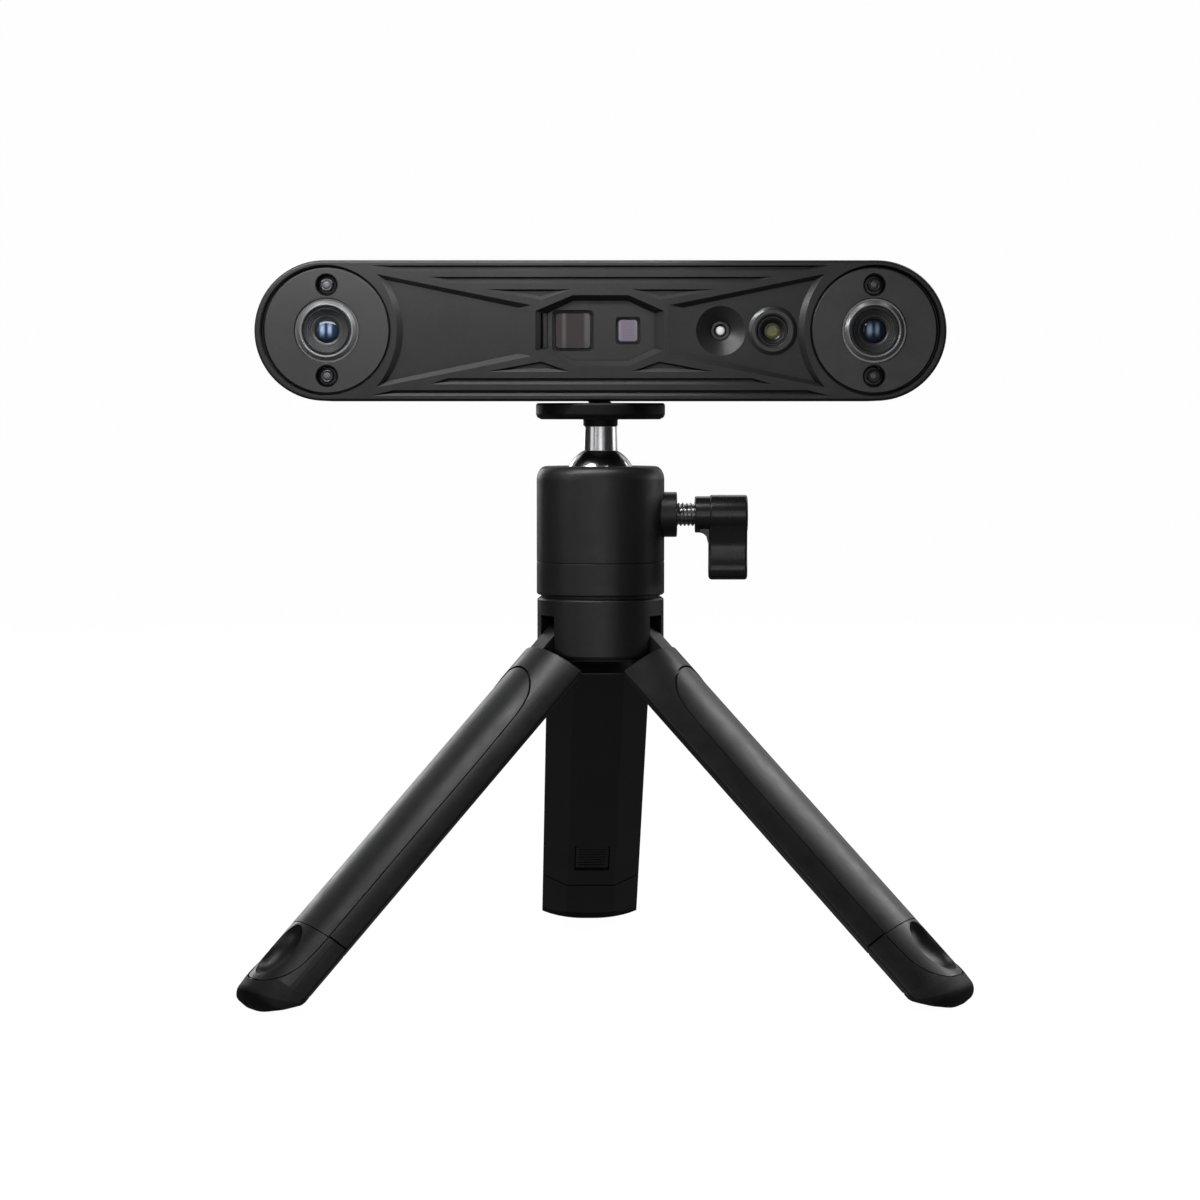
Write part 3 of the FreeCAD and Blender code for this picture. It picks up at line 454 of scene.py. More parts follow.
def paint_sole_underside_shade(m):
    # painted shade: a near-black band along the bottom of the sole, reaching higher at the toe than at the heel
    nt = m.node_tree
    N, L = nt.nodes, nt.links
    b = N["Principled BSDF"]
    old = b.inputs["Base Color"].links[0].from_socket
    co = N.new("ShaderNodeTexCoord")
    mp = N.new("ShaderNodeMapping")
    mp.inputs["Location"].default_value = (-OFF.x * 0.001, -OFF.y * 0.001, 0)
    L.new(co.outputs["Object"], mp.inputs["Vector"])
    sp = N.new("ShaderNodeSeparateXYZ")
    L.new(mp.outputs["Vector"], sp.inputs[0])

    def op(kind, *args):
        n = N.new("ShaderNodeMath")
        n.operation = kind
        for i, a in enumerate(args):
            if isinstance(a, float):
                n.inputs[i].default_value = a
            else:
                L.new(a, n.inputs[i])
        return n.outputs[0]

    r = op("SQRT", op("ADD", op("MULTIPLY", sp.outputs["X"], sp.outputs["X"]), op("MULTIPLY", sp.outputs["Y"], sp.outputs["Y"])))
    d = op("MAXIMUM", op("SUBTRACT", r, 0.090), 0.0)
    edge = op("ADD", op("MULTIPLY", op("MULTIPLY", d, d), 19.2), 0.0026)
    f = N.new("ShaderNodeMapRange")
    f.inputs["From Min"].default_value, f.inputs["From Max"].default_value = -0.0002, 0.0002
    L.new(op("SUBTRACT", sp.outputs["Z"], edge), f.inputs["Value"])
    mx = N.new("ShaderNodeMix")
    mx.data_type = "RGBA"
    L.new(f.outputs["Result"], mx.inputs["Factor"])
    # near-black colour of the painted shade band
    mx.inputs["A"].default_value = (0.0025, 0.0025, 0.0025, 1)
    L.new(old, mx.inputs["B"])
    L.new(mx.outputs["Result"], b.inputs["Base Color"])


# painted shade along the bottom of the rubber soles
paint_sole_underside_shade(M["sole_rubber"])


def striped_glass(name, deep, light, cx, widths, soft, rough=0.06, lines=0.0):
    """Coated window: vertical stripes of a second colour over the tint, fainter towards the bottom.
    widths is a list of (centre x, half width) in mm from the tripod's axis."""
    m = surface(name, deep, rough, coat=0.4, coat_rough=0.05, spec=0.3, tone=0.05, grain_um=0.0, rough_var=0.01)
    nt = m.node_tree
    N, L = nt.nodes, nt.links
    b = N["Principled BSDF"]
    co = N.new("ShaderNodeTexCoord")
    sep = N.new("ShaderNodeSeparateXYZ")
    L.new(co.outputs["Object"], sep.inputs[0])
    total = None
    for c, half in widths:
        d = N.new("ShaderNodeMath")
        d.operation = "SUBTRACT"
        d.inputs[1].default_value = (c + OFF.x) * 0.001
        L.new(sep.outputs["X"], d.inputs[0])
        a = N.new("ShaderNodeMath")
        a.operation = "ABSOLUTE"
        L.new(d.outputs[0], a.inputs[0])
        r = N.new("ShaderNodeMapRange")
        r.interpolation_type = "SMOOTHSTEP"
        r.inputs["From Min"].default_value = (half + soft) * 0.001
        r.inputs["From Max"].default_value = max(0.0, half - soft) * 0.001
        L.new(a.outputs[0], r.inputs["Value"])
        if total is None:
            total = r.outputs["Result"]
        else:
            s = N.new("ShaderNodeMath")
            s.operation = "MAXIMUM"
            L.new(total, s.inputs[0])
            L.new(r.outputs["Result"], s.inputs[1])
            total = s.outputs[0]
    fade = N.new("ShaderNodeMapRange")
    fade.interpolation_type = "SMOOTHSTEP"
    fade.inputs["From Min"].default_value = (SC_Z + OFF.z - 5.2) * 0.001
    fade.inputs["From Max"].default_value = (SC_Z + OFF.z - 1.5) * 0.001
    fade.inputs["To Min"].default_value, fade.inputs["To Max"].default_value = 0.45, 1.0
    L.new(sep.outputs["Z"], fade.inputs["Value"])
    mul = N.new("ShaderNodeMath")
    mul.operation = "MULTIPLY"
    L.new(total, mul.inputs[0])
    L.new(fade.outputs["Result"], mul.inputs[1])
    fac = mul.outputs[0]
    if lines:
        w = N.new("ShaderNodeTexWave")
        w.bands_direction = "Z"
        w.inputs["Scale"].default_value = lines
        w.inputs["Distortion"].default_value = 0.0
        L.new(co.outputs["Object"], w.inputs["Vector"])
        wr = N.new("ShaderNodeMapRange")
        wr.inputs["To Min"].default_value, wr.inputs["To Max"].default_value = 0.82, 1.0
        L.new(w.outputs["Fac"], wr.inputs["Value"])
        m3 = N.new("ShaderNodeMath")
        m3.operation = "MULTIPLY"
        L.new(fac, m3.inputs[0])
        L.new(wr.outputs["Result"], m3.inputs[1])
        fac = m3.outputs[0]
    old = b.inputs["Base Color"].links[0].from_socket
    mix = N.new("ShaderNodeMix")
    mix.data_type = "RGBA"
    L.new(fac, mix.inputs["Factor"])
    L.new(old, mix.inputs["A"])
    mix.inputs["B"].default_value = (*light, 1)
    L.new(mix.outputs["Result"], b.inputs["Base Color"])
    return m


M["window_wide"] = striped_glass("window_wide", (0.014, 0.008, 0.009), (0.062, 0.058, 0.058), 0,
                                 [(-9.15, 0.45), (-3.3, 0.75)], 0.4)
M["window_small"] = striped_glass("window_small", (0.19, 0.172, 0.205), (0.14, 0.122, 0.162), 0, [(6.9, 1.8)], 0.35, lines=420.0)


def lens_rings_tint_and_painted_light(name, rim, mid, core, radius_mm, centres, rough=0.03):
    """Coated lens, its colour in rings about each optical axis from the rim to the middle: a tint on the scanner
    lenses, a painted highlight on the colour camera lens, painted shade round the IR LEDs.
    """
    m = surface(name, mid, rough, coat=0.12, coat_rough=0.03, spec=0.2, tone=0.04, grain_um=0.0, rough_var=0.008)
    nt = m.node_tree
    N, L = nt.nodes, nt.links
    b = N["Principled BSDF"]
    co = N.new("ShaderNodeTexCoord")
    near = None
    for cx, cz in centres:
        mp = N.new("ShaderNodeMapping")
        mp.inputs["Location"].default_value = (-(cx + OFF.x) * 0.001, 0, -(cz + SC_Z + OFF.z) * 0.001)
        mp.inputs["Scale"].default_value = (1, 0, 1)
        L.new(co.outputs["Object"], mp.inputs["Vector"])
        ln = N.new("ShaderNodeVectorMath")
        ln.operation = "LENGTH"
        L.new(mp.outputs["Vector"], ln.inputs[0])
        if near is None:
            near = ln.outputs["Value"]
        else:
            mn = N.new("ShaderNodeMath")
            mn.operation = "MINIMUM"
            L.new(near, mn.inputs[0])
            L.new(ln.outputs["Value"], mn.inputs[1])
            near = mn.outputs[0]
    sc = N.new("ShaderNodeMath")
    sc.operation = "DIVIDE"
    sc.inputs[1].default_value = radius_mm * 0.001
    L.new(near, sc.inputs[0])
    r = N.new("ShaderNodeValToRGB")
    r.color_ramp.elements[0].color = (*core, 1)
    r.color_ramp.elements[0].position = 0.0
    r.color_ramp.elements[1].color = (*rim, 1)
    r.color_ramp.elements[1].position = 0.97
    e = r.color_ramp.elements.new(0.62)
    e.color = (*mid, 1)
    L.new(sc.outputs[0], r.inputs["Fac"])
    L.new(r.outputs["Color"], b.inputs["Base Color"])
    return m


M["lens_glass"] = lens_rings_tint_and_painted_light("lens_glass", (0.010, 0.014, 0.022), (0.020, 0.034, 0.060), (0.012, 0.022, 0.050), 3.1,
                               [(-EYE_X, 0), (EYE_X, 0)])


def paint_reflection_bars(m, bars, colour, z_half):
    """Painted reflections: pale upright bars beside each optical axis, mixed into the lens colour."""
    nt = m.node_tree
    N, L = nt.nodes, nt.links
    b = N["Principled BSDF"]
    co = N.new("ShaderNodeTexCoord")
    sep = N.new("ShaderNodeSeparateXYZ")
    L.new(co.outputs["Object"], sep.inputs[0])

    def band(src, centre, half, soft):
        d = N.new("ShaderNodeMath")
        d.operation = "SUBTRACT"
        d.inputs[1].default_value = centre * 0.001
        L.new(src, d.inputs[0])
        a = N.new("ShaderNodeMath")
        a.operation = "ABSOLUTE"
        L.new(d.outputs[0], a.inputs[0])
        r = N.new("ShaderNodeMapRange")
        r.interpolation_type = "SMOOTHSTEP"
        r.inputs["From Min"].default_value = (half + soft) * 0.001
        r.inputs["From Max"].default_value = max(0.0, half - soft) * 0.001
        L.new(a.outputs[0], r.inputs["Value"])
        return r.outputs["Result"]

    total = None
    for cx in (-EYE_X, EYE_X):
        for dx, half in bars:
            v = band(sep.outputs["X"], cx + OFF.x + dx, half, 0.35)
            if total is None:
                total = v
            else:
                s = N.new("ShaderNodeMath")
                s.operation = "MAXIMUM"
                L.new(total, s.inputs[0])
                L.new(v, s.inputs[1])
                total = s.outputs[0]
    tall = band(sep.outputs["Z"], SC_Z + OFF.z + 0.25, z_half, 1.1)
    mul = N.new("ShaderNodeMath")
    mul.operation = "MULTIPLY"
    L.new(total, mul.inputs[0])
    L.new(tall, mul.inputs[1])
    old = b.inputs["Base Color"].links[0].from_socket
    mix = N.new("ShaderNodeMix")
    mix.data_type = "RGBA"
    L.new(mul.outputs[0], mix.inputs["Factor"])
    L.new(old, mix.inputs["A"])
    mix.inputs["B"].default_value = (*colour, 1)
    L.new(mix.outputs["Result"], b.inputs["Base Color"])


# painted reflections of strip lights in both scanner lenses
paint_reflection_bars(M["lens_glass"], [(-1.15, 0.55), (0.75, 0.45)], (0.30, 0.40, 0.58), 1.2)
# painted highlight: the colour camera's lens is nearly white inside a dark rim
M["rgb_lens_painted_highlight"] = lens_rings_tint_and_painted_light("rgb_lens_painted_highlight", (0.006, 0.006, 0.007), (0.95, 0.96, 0.98), (1.0, 1.0, 1.0), 1.28, [(30.1, 0)], 0.08)
# painted shade: near-black outer ring in the hole round each IR LED; the grey dome is lighter towards its middle
M["led_clear"] = lens_rings_tint_and_painted_light("led_clear", (0.003, 0.003, 0.003), (0.075, 0.073, 0.078), (0.16, 0.155, 0.165), 1.7,
                              [(sx * EYE_X, sz * LED_Z) for sx in (-1, 1) for sz in (-1, 1)], 0.22)
M["pilot_light"] = lens_rings_tint_and_painted_light("pilot_light", (0.20, 0.22, 0.24), (0.42, 0.46, 0.50), (0.60, 0.66, 0.70), 0.85, [(22.0, 0)], 0.2)


# ------------------------------------------------------------------ scanner: front shell
def ring_y(w, h, inset, y, n=40):
    return [(x, y, z) for x, z in stadium(w, h, inset, n=n)]


def arc(r, a, side, n=28):
    return [(side * (EYE_X - r * math.cos(t)), r * math.sin(t)) for t in [math.radians(a - 2 * a * i / (n - 1)) for i in range(n)]]


def sunk(face, floor, depth, over=0.4):
    # cutter whose walls slope from the face outline to the floor outline
    out = [(f[0] + (f[0] - g[0]) * over / depth, f[1] + (f[1] - g[1]) * over / depth) for f, g in zip(face, floor)]
    return loft_y((floor, YF + depth), (out, YF - over))


def slopes(q, d_top, d_low):
    # floor outline: edges whose wall looks down move in by d_top, the others by d_low
    n = len(q)
    area2 = sum(q[i][0] * q[(i + 1) % n][1] - q[(i + 1) % n][0] * q[i][1] for i in range(n))
    w = 1.0 if area2 > 0 else -1.0
    lines = []
    for i in range(n):
        (x0, z0), (x1, z1) = q[i], q[(i + 1) % n]
        l = math.hypot(x1 - x0, z1 - z0)
        nx, nz = -(z1 - z0) / l * w, (x1 - x0) / l * w
        d = d_top if nz < 0 else d_low
        lines.append((nx, nz, nx * x0 + nz * z0 + d))
    out = []
    for i in range(n):
        a, b = lines[i - 1], lines[i]
        det = a[0] * b[1] - a[1] * b[0]
        out.append(((a[2] * b[1] - a[1] * b[2]) / det, (a[0] * b[2] - a[2] * b[0]) / det))
    return out


def crescent(r, a, shift, side, n=28):
    # arc about a point set back from the eye by shift
    return [(x + side * shift, z) for x, z in arc(r, a, side, n)]


def octagon(hw, hh, fx, fz):
    return [(-hw, -fz), (-hw, fz), (-fx, hh), (fx, hh), (hw, fz), (hw, -fz), (fx, -hh), (-fx, -hh)]


F = 0.7
rings = [ring_y(SC_W, SC_H, F * (1 - math.sin(t)), YF + F * (1 - math.cos(t))) for t in [math.pi / 2 * i / 6 for i in range(7)]]
rings += [ring_y(SC_W, SC_H, 0, Y_SPLIT - 0.2), ring_y(SC_W, SC_H, 0.2, Y_SPLIT)]
front = loft(rings)
boo(front, loft([ring_y(SC_W - 3.6, SC_H - 3.6, 0, YF + 3.2), ring_y(SC_W - 3.6, SC_H - 3.6, 0, Y_SPLIT + 1)]))
GR = [[(-57.5, 16.25), (57.5, 16.25), (51.8, 14.85), (-51.8, 14.85)],
      [(-42.9, 13.4), (42.9, 13.4), (38.0, 11.85), (-38.0, 11.85)],
      [(-29.0, 10.3), (-7.4, 10.3), (-14.8, 7.7)],
      [(29.0, 10.3), (7.4, 10.3), (14.8, 7.7)]]
cuts = []
for g in GR:
    for s in (1, -1):
        q = [(x, s * z) for x, z in g]
        # short steep wall above, long slope below
        cuts.append(sunk(q, slopes(q, 0.42, 0.85), 0.62))
for s in (-1, 1):
    floor = crescent(21.2, 36.6, 2.13, s) + [(s * 20.6, -5.72), (s * 20.6, 5.72)]
    face = crescent(21.8, 40.6, 4.26, s) + [(s * 17.3, -6.35), (s * 17.3, 6.35)]
    cuts.append(sunk(face, floor, 1.0))
cuts.append(loft_y((octagon(14.35, 8.35, 7.3, 4.9), -12.0), (octagon(14.35, 8.35, 7.3, 4.9), YF + 2.2)))
boo(front, join(*cuts))
o0, o1 = octagon(15.9, 8.85, 7.0, 4.9), octagon(13.5, 7.5, 6.8, 4.4)
o0 = [(x - 0.4, z) if x < -15 else (x, z) for x, z in o0]
o1 = [(x + 0.35, z) if x < -13 else (x, z) for x, z in o1]
boo(front, loft_y((o1, YF + 2.3), (o1, YF + 2.2), (o0, YF), ([(x * 1.03, z * 1.03) for x, z in o0], YF - 0.3)))
# shadow slot along the left end of the window frame
boo(front, loft_y(([(-14.5, -4.3), (-13.45, -4.2), (-13.45, 4.2), (-14.5, 4.3)], YF + 3.0), ([(-15.1, -4.5), (-13.45, -4.3), (-13.45, 4.3), (-15.1, 4.5)], YF + 0.9)))
cuts = []
for s in (-1, 1):
    cuts.append(lathe(rp([(0, YF - 1), (15.9, YF - 1), (15.9, YF + 1.6, 0.1), (6.1, YF + 1.6, 0.2), (6.1, Y_SPLIT + 1), (0, Y_SPLIT + 1)]), 144, "y", (s * EYE_X, 0, 0)))
boo(front, join(*cuts))
for s in (-1, 1):
    boo(front, tube(16.45, YF, YF + 0.8, s * (EYE_X + 0.35), 0, 144, 15.75))
boo(front, tube(7.4, YF + 2.8, -11.0, 30.1, 0), "UNION")
cuts = [tube(2.65, YF, Y_SPLIT, s * EYE_X, z, 40) for s in (-1, 1) for z in (-LED_Z, LED_Z)]
cuts.append(lathe(rp([(0, YF - 1), (6.36, YF - 1), (6.36, YF + 0.83, 0.12), (6.2, YF + 1.0), (2.35, -12.25, 0.2), (2.35, -10.5), (0, -10.5)]), 96, "y", (30.1, 0, 0)))
cuts.append(tube(6.15, YF - 1, Y_SPLIT, 43.1, 0, 96))
boo(front, join(*cuts))
finish(front, "front_shell_body", "scanner", M["shell_black"], ["front_shell"], sharp=24, local=True)

# ------------------------------------------------------------------ scanner: rear shell
F = 2.6
rings = [ring_y(SC_W, SC_H, 0.2, Y_SPLIT), ring_y(SC_W, SC_H, 0, Y_SPLIT + 0.2)]
rings += [ring_y(SC_W, SC_H, F * (1 - math.cos(t)), YB - F * (1 - math.sin(t))) for t in [math.pi / 2 * i / 10 for i in range(11)]]
rear = loft(rings)
boo(rear, loft([ring_y(SC_W - 3.6, SC_H - 3.6, 0, Y_SPLIT - 1), ring_y(SC_W - 3.6, SC_H - 3.6, 0, YB - 3.2), ring_y(SC_W - 3.6, SC_H - 3.6, 1.2, YB - 2.0)]))
boo(rear, tube_z(6.6, -SC_H / 2 + 0.6, -9.4), "UNION")
BOSS = [(x, z) for x in (-50.0, 50.0) for z in (12.9, -12.9)]
cuts = [lathe(rp([(0, YB - 2.2), (2.0, YB - 2.2), (2.0, YB - 0.25), (2.35, YB + 0.1), (2.35, YB + 1), (0, YB + 1)]), 48, "y", (x, 0, z)) for x, z in BOSS]
cuts.append(lathe([(0, -SC_H / 2 - 1), (5.1, -SC_H / 2 - 1), (5.1, -SC_H / 2 + 0.05), (4.75, -SC_H / 2 + 0.4), (4.75, -9.0), (0, -9.0)], 72, "z"))
for x, r in zip((-12.0, 0.0, 12.0), (3.0, 4.5, 3.0)):
    cuts.append(lathe(rp([(0, YB - 4), (r + 0.25, YB - 4), (r + 0.25, YB - 0.35, 0.4), (r + 0.95, YB + 0.35), (r + 0.95, YB + 1), (0, YB + 1)]), 72, "y", (x, 0, 0)))
cuts.append(loft_y((stadium(9.3, 3.6, cx=45, n=16), YB - 4), (stadium(9.3, 3.6, cx=45, n=16), YB - 0.6),
                   (stadium(12.6, 6.6, cx=45, n=16), YB - 0.6), (stadium(12.6, 6.6, cx=45, n=16), YB - 0.15), (stadium(13.2, 7.2, cx=45, n=16), YB + 0.4)))
cuts.append(tube(0.85, YB - 4, YB + 1, 22.0, 0, 32))
for i in range(8):
    x = -66.0 + 3.6 * i
    cuts.append(loft_y((rrect(x - 0.8, x + 0.8, -8, 8, 0.75), YB - 4), (rrect(x - 0.8, x + 0.8, -8, 8, 0.75), YB - 0.3),
                       (rrect(x - 1.1, x + 1.1, -8.3, 8.3, 1.0), YB + 0.05), (rrect(x - 1.1, x + 1.1, -8.3, 8.3, 1.0), YB + 1)))
boo(rear, join(*cuts))
finish(rear, "rear_shell_body", "scanner", M["shell_black"], ["rear_shell"], sharp=24, local=True)

obs = []
for x, z in BOSS:
    s = lathe(rp([(0, YB - 2.1), (1.9, YB - 2.1), (1.9, YB - 0.7, 0.25), (1.2, YB - 0.62), (1.0, YB - 0.9), (0, YB - 1.0)]), 48, "y", (x, 0, z))
    star = [((0.95 if i % 2 else 0.72) * math.cos(math.pi * i / 6) + x, (0.95 if i % 2 else 0.72) * math.sin(math.pi * i / 6) + z) for i in range(12)]
    boo(s, loft_y((star, YB - 1.7), (star, YB)))
    obs.append(s)
finish(join(*obs), "shell_screw_heads", "scanner", M["screw_black"], ["shell_screws"], sharp=28, local=True)

# ------------------------------------------------------------------ scanner: lens ends
obs = []
for s in (-1, 1):
    d = lathe(rp([(8.05, YF + 1.6), (15.7, YF + 1.6), (15.7, YF + 0.28, 0.12), (15.42, YF, 0.12), (8.2, YF, 0.1), (8.05, YF + 0.15)]), 160, "y", (s * EYE_X, 0, 0))
    boo(d, join(*[lathe(rp([(0, YF - 1), (3.2, YF - 1), (2.95, YF - 0.06), (2.72, YF + 0.25, 0.1), (2.62, YF + 3), (0, YF + 3)]), 72, "y", (s * EYE_X, 0, z)) for z in (-LED_Z, LED_Z)]))
    obs.append(d)
finish(join(*obs), "lens_end_discs", "scanner", M["disc_black"], ["lens_discs"], sharp=26, local=True)

obs = [lathe(rp([(6.16, YF + 1.6), (8.0, YF + 1.6), (8.0, YF + 1.5), (7.52, YF + 1.5), (7.52, YF + 0.0, 0.1), (7.36, YF - 0.16, 0.12), (6.64, YF - 0.84, 0.14), (6.4, YF - 0.85, 0.12), (6.16, YF - 0.6, 0.1)], 5), 144, "y", (s * EYE_X, 0, 0)) for s in (-1, 1)]
finish(join(*obs), "lens_bezel_rings", "scanner", M["bezel_black"], ["lens_bezels"], sharp=40, local=True)

obs = []
for s in (-1, 1):
    pr = [(0.0, -5.4), (6.05, -5.4), (6.05, YF + 1.4), (5.5, YF + 1.4), (5.5, YF - 0.28, 0.08)]
    # baffle steps down to the glass
    pr += [(5.3, YF - 0.02, 0.06), (5.2, YF + 0.12, 0.06), (5.1, YF + 0.45, 0.06), (4.72, YF + 0.5, 0.06), (4.6, YF + 0.8, 0.06),
           (4.25, YF + 0.86, 0.06), (4.1, YF + 1.12, 0.06), (3.62, YF + 1.18, 0.08), (3.3, YF + 1.42, 0.06), (3.12, YF + 1.5), (3.12, -11.0), (0.0, -11.0)]
    obs.append(lathe(rp(pr, 3), 120, "y", (s * EYE_X, 0, 0)))
finish(join(*obs), "lens_barrel_steps", "scanner", M["barrel_black"], ["lens_barrels"], sharp=30, local=True)

obs = []
for s in (-1, 1):
    pr = [(0.0, -11.2), (3.08, -11.2), (3.08, YF + 1.55)]
    k = 12
    top = [(3.08 * (1 - i / k), YF + 1.55 + 4.2 - math.sqrt(5.2 ** 2 - (3.08 * (1 - i / k)) ** 2)) for i in range(0, k + 1)]
    obs.append(lathe(pr + top, 96, "y", (s * EYE_X, 0, 0)))
finish(join(*obs), "lens_glass_domes", "scanner", M["lens_glass"], ["lens_glasses"], sharp=45, local=True)

obs = []
for s in (-1, 1):
    for z in (-LED_Z, LED_Z):
        pr = [(0.0, YF + 3.65), (2.55, YF + 3.65), (2.55, YF + 2.9, 0.1), (1.68, YF + 2.85), (1.68, YF + 0.9, 0.12), (1.3, YF + 0.72, 0.08), (1.05, YF + 0.86, 0.08)]
        top = [(0.95 * math.cos(t), YF + 0.86 - 0.38 * math.sin(t)) for t in [math.pi / 2 * i / 8 for i in range(1, 8)]] + [(0.0, YF + 0.48)]
        obs.append(lathe(rp(pr) + top, 56, "y", (s * EYE_X, 0, z)))
finish(join(*obs), "ir_led_domes", "scanner", M["led_clear"], ["ir_leds"], sharp=40, local=True)

# ------------------------------------------------------------------ scanner: window panel
PY = YF + 2.2
panel = loft_y((octagon(14.3, 8.3, 7.28, 4.88), PY + 1.5), (octagon(14.3, 8.3, 7.28, 4.88), PY))
WIN = ((-11.95, -1.85, -5.05, 5.05, 1.0), (3.9, 9.9, -3.35, 3.35, 0.8))
cuts = []
for x0, x1, z0, z1, r in WIN:
    cuts.append(loft_y((rrect(x0, x1, z0, z1, r), PY + 3), (rrect(x0, x1, z0, z1, r), PY + 0.16),
                       (rrect(x0 - .14, x1 + .14, z0 - .14, z1 + .14, r + .12), PY), (rrect(x0 - .14, x1 + .14, z0 - .14, z1 + .14, r + .12), PY - 1)))
boo(panel, join(*cuts))
finish(panel, "window_frame_panel", "scanner", M["panel_black"], ["window_panel"], sharp=24, local=True)
for (x0, x1, z0, z1, r), nm, mt, nd in zip(WIN, ("projector_window_pane", "sensor_window_pane"), ("window_wide", "window_small"), ("projector_window", "sensor_window")):
    q = lambda i: rrect(x0 + .62 + i, x1 - .62 - i, z0 + .62 + i, z1 - .62 - i, max(0.2, r - i))
    w = loft_y((rrect(x0 + .05, x1 - .05, z0 + .05, z1 - .05, r), PY + 1.9), (rrect(x0 + .05, x1 - .05, z0 + .05, z1 - .05, r), PY + 1.75), (q(0), PY + 1.75), (q(0), PY + 0.42), (q(0.14), PY + 0.3), (q(0.5), PY + 0.3))
    finish(w, nm, "scanner", M[mt], [nd], sharp=30, local=True)

# ------------------------------------------------------------------ scanner: colour camera, flash
c = lathe(rp([(0, -10.9), (2.3, -10.9), (2.3, -12.5, 0.12), (1.75, -12.5, 0.1), (1.4, -12.1, 0.06), (1.35, -11.6), (0, -11.6)]), 72, "y", (30.1, 0, 0))
back = block(30.1 - 4.3, 30.1 + 4.3, -10.92, -5.6, -4.3, 4.3)
boo(c, back, "UNION")
finish(c, "colour_camera_barrel", "scanner", M["barrel_black"], ["rgb_camera"], sharp=30, local=True)
pr = [(0.0, -11.65), (1.3, -11.65), (1.3, -12.25)] + [(1.3 * math.cos(t), -12.25 - 0.45 * math.sin(t)) for t in [math.pi / 2 * i / 8 for i in range(1, 8)]] + [(0.0, -12.7)]
finish(lathe(pr, 64, "y", (30.1, 0, 0)), "colour_camera_lens", "scanner", M["rgb_lens_painted_highlight"], ["rgb_lens"], sharp=45, local=True)
FY = YF + 1.0
fr = lathe(rp([(3.9, FY - 0.35, 0.1), (4.4, FY - 0.5, 0.2), (5.2, FY - 0.48, 0.3), (6.1, FY, 0.12), (6.1, -11.6), (1.95, -11.6), (1.95, -12.3, 0.1), (2.25, -12.45, 0.1), (3.05, FY + 0.95, 0.1), (3.3, FY + 1.5, 0.05), (3.55, FY + 1.5, 0.05), (3.75, FY + 0.3, 0.1)], 5), 112, "y", (43.1, 0, 0))
finish(fr, "flash_reflector_ring", "scanner", M["flash_ring"], ["flash_reflector"], sharp=38, local=True)
chip = lathe(rp([(0, -11.5), (1.58, -11.5), (1.58, -12.68, 0.12), (1.3, -12.78, 0.2), (0, -12.84)]), 64, "y", (43.1, 0, 0))
base = tube(6.0, -11.55, -10.4, 43.1, 0, 72)
boo(chip, base, "UNION")
finish(chip, "flash_chip", "scanner", M["led_yellow"], ["flash_led"], sharp=30, local=True)

# ------------------------------------------------------------------ scanner: back
us = loft_y((stadium(8.94, 3.2, cx=45, n=16), YB - 8.2), (stadium(8.94, 3.2, cx=45, n=16), YB - 0.62), (stadium(8.94, 3.2, 0.12, cx=45, n=16), YB - 0.5))
boo(us, loft_y((stadium(8.34, 2.6, cx=45, n=16), YB - 6.9), (stadium(8.34, 2.6, cx=45, n=16), YB - 0.62), (stadium(8.34, 2.6, -0.12, cx=45, n=16), YB - 0.4)))
tong = block(45 - 3.3, 45 + 3.3, YB - 8.0, YB - 1.4, -0.35, 0.35)
boo(us, tong, "UNION")
finish(us, "usb_c_shell", "scanner", M["steel"], ["usb_c_socket"], sharp=30, bevel=0.05, local=True)
for nm, x, r in zip(("minus", "scan", "plus"), (-12.0, 0.0, 12.0), (3.0, 4.5, 3.0)):
    top = [(r, YB + 0.25, 0.3), (r * 0.8, YB + 0.52, 0.5), (0, YB + 0.42)] if nm == "scan" else [(r, YB + 0.3, 0.3), (r * 0.85, YB + 0.56, 0.4), (0, YB + 0.6)]
    k = lathe(rp([(0, 12.34), (r + 0.8, 12.34), (r + 0.8, 13.3, 0.1), (r, 13.3)] + top, 6), 96, "y", (x, 0, 0))
    if nm == "minus":
        boo(k, block(x - 1.2, x + 1.2, YB + 0.42, YB + 1, -0.2, 0.2))
    if nm == "plus":
        bar = block(x - 1.2, x + 1.2, YB + 0.42, YB + 1, -0.2, 0.2)
        boo(bar, block(x - 0.2, x + 0.2, YB + 0.42, YB + 1, -1.2, 1.2), "UNION")
        boo(k, bar)
    if nm == "scan":
        boo(k, lathe([(2.2, YB + 0.3), (2.45, YB + 0.3), (2.45, YB + 1), (2.2, YB + 1)], 64, "y", (x, 0, 0)))
    finish(k, nm + "_button_cap", nm + "_key", M["button_grey"], [nm + "_button"], sharp=34, local=True)
ind = lathe(rp([(0, 9.8), (1.3, 9.8), (1.3, 10.7), (0.8, 10.7), (0.8, YB - 0.15, 0.15), (0.4, YB - 0.05, 0.2), (0, YB - 0.03)]), 40, "y", (22.0, 0, 0))
finish(ind, "indicator_light_pipe", "scanner", M["pilot_light"], ["indicator_light"], sharp=40, local=True)

# ------------------------------------------------------------------ stem, plate, ball
PR, P0, P1 = 16.45, 143.0, 147.15
pl = lathe(rp([(0, 141.4), (4.4, 141.4, 0.12), (4.4, P0 + 0.02, 0.3), (15.1, P0, 0.3), (16.1, P0 + 0.5, 0.6), (PR, P0 + 1.3, 0.5), (PR, P1 - 0.5, 0.2), (PR - 0.4, P1, 0.15),
                (14.9, P1, 0.1), (14.9, P1 - 0.9), (0, P1 - 0.9)], 5), 160, "z")
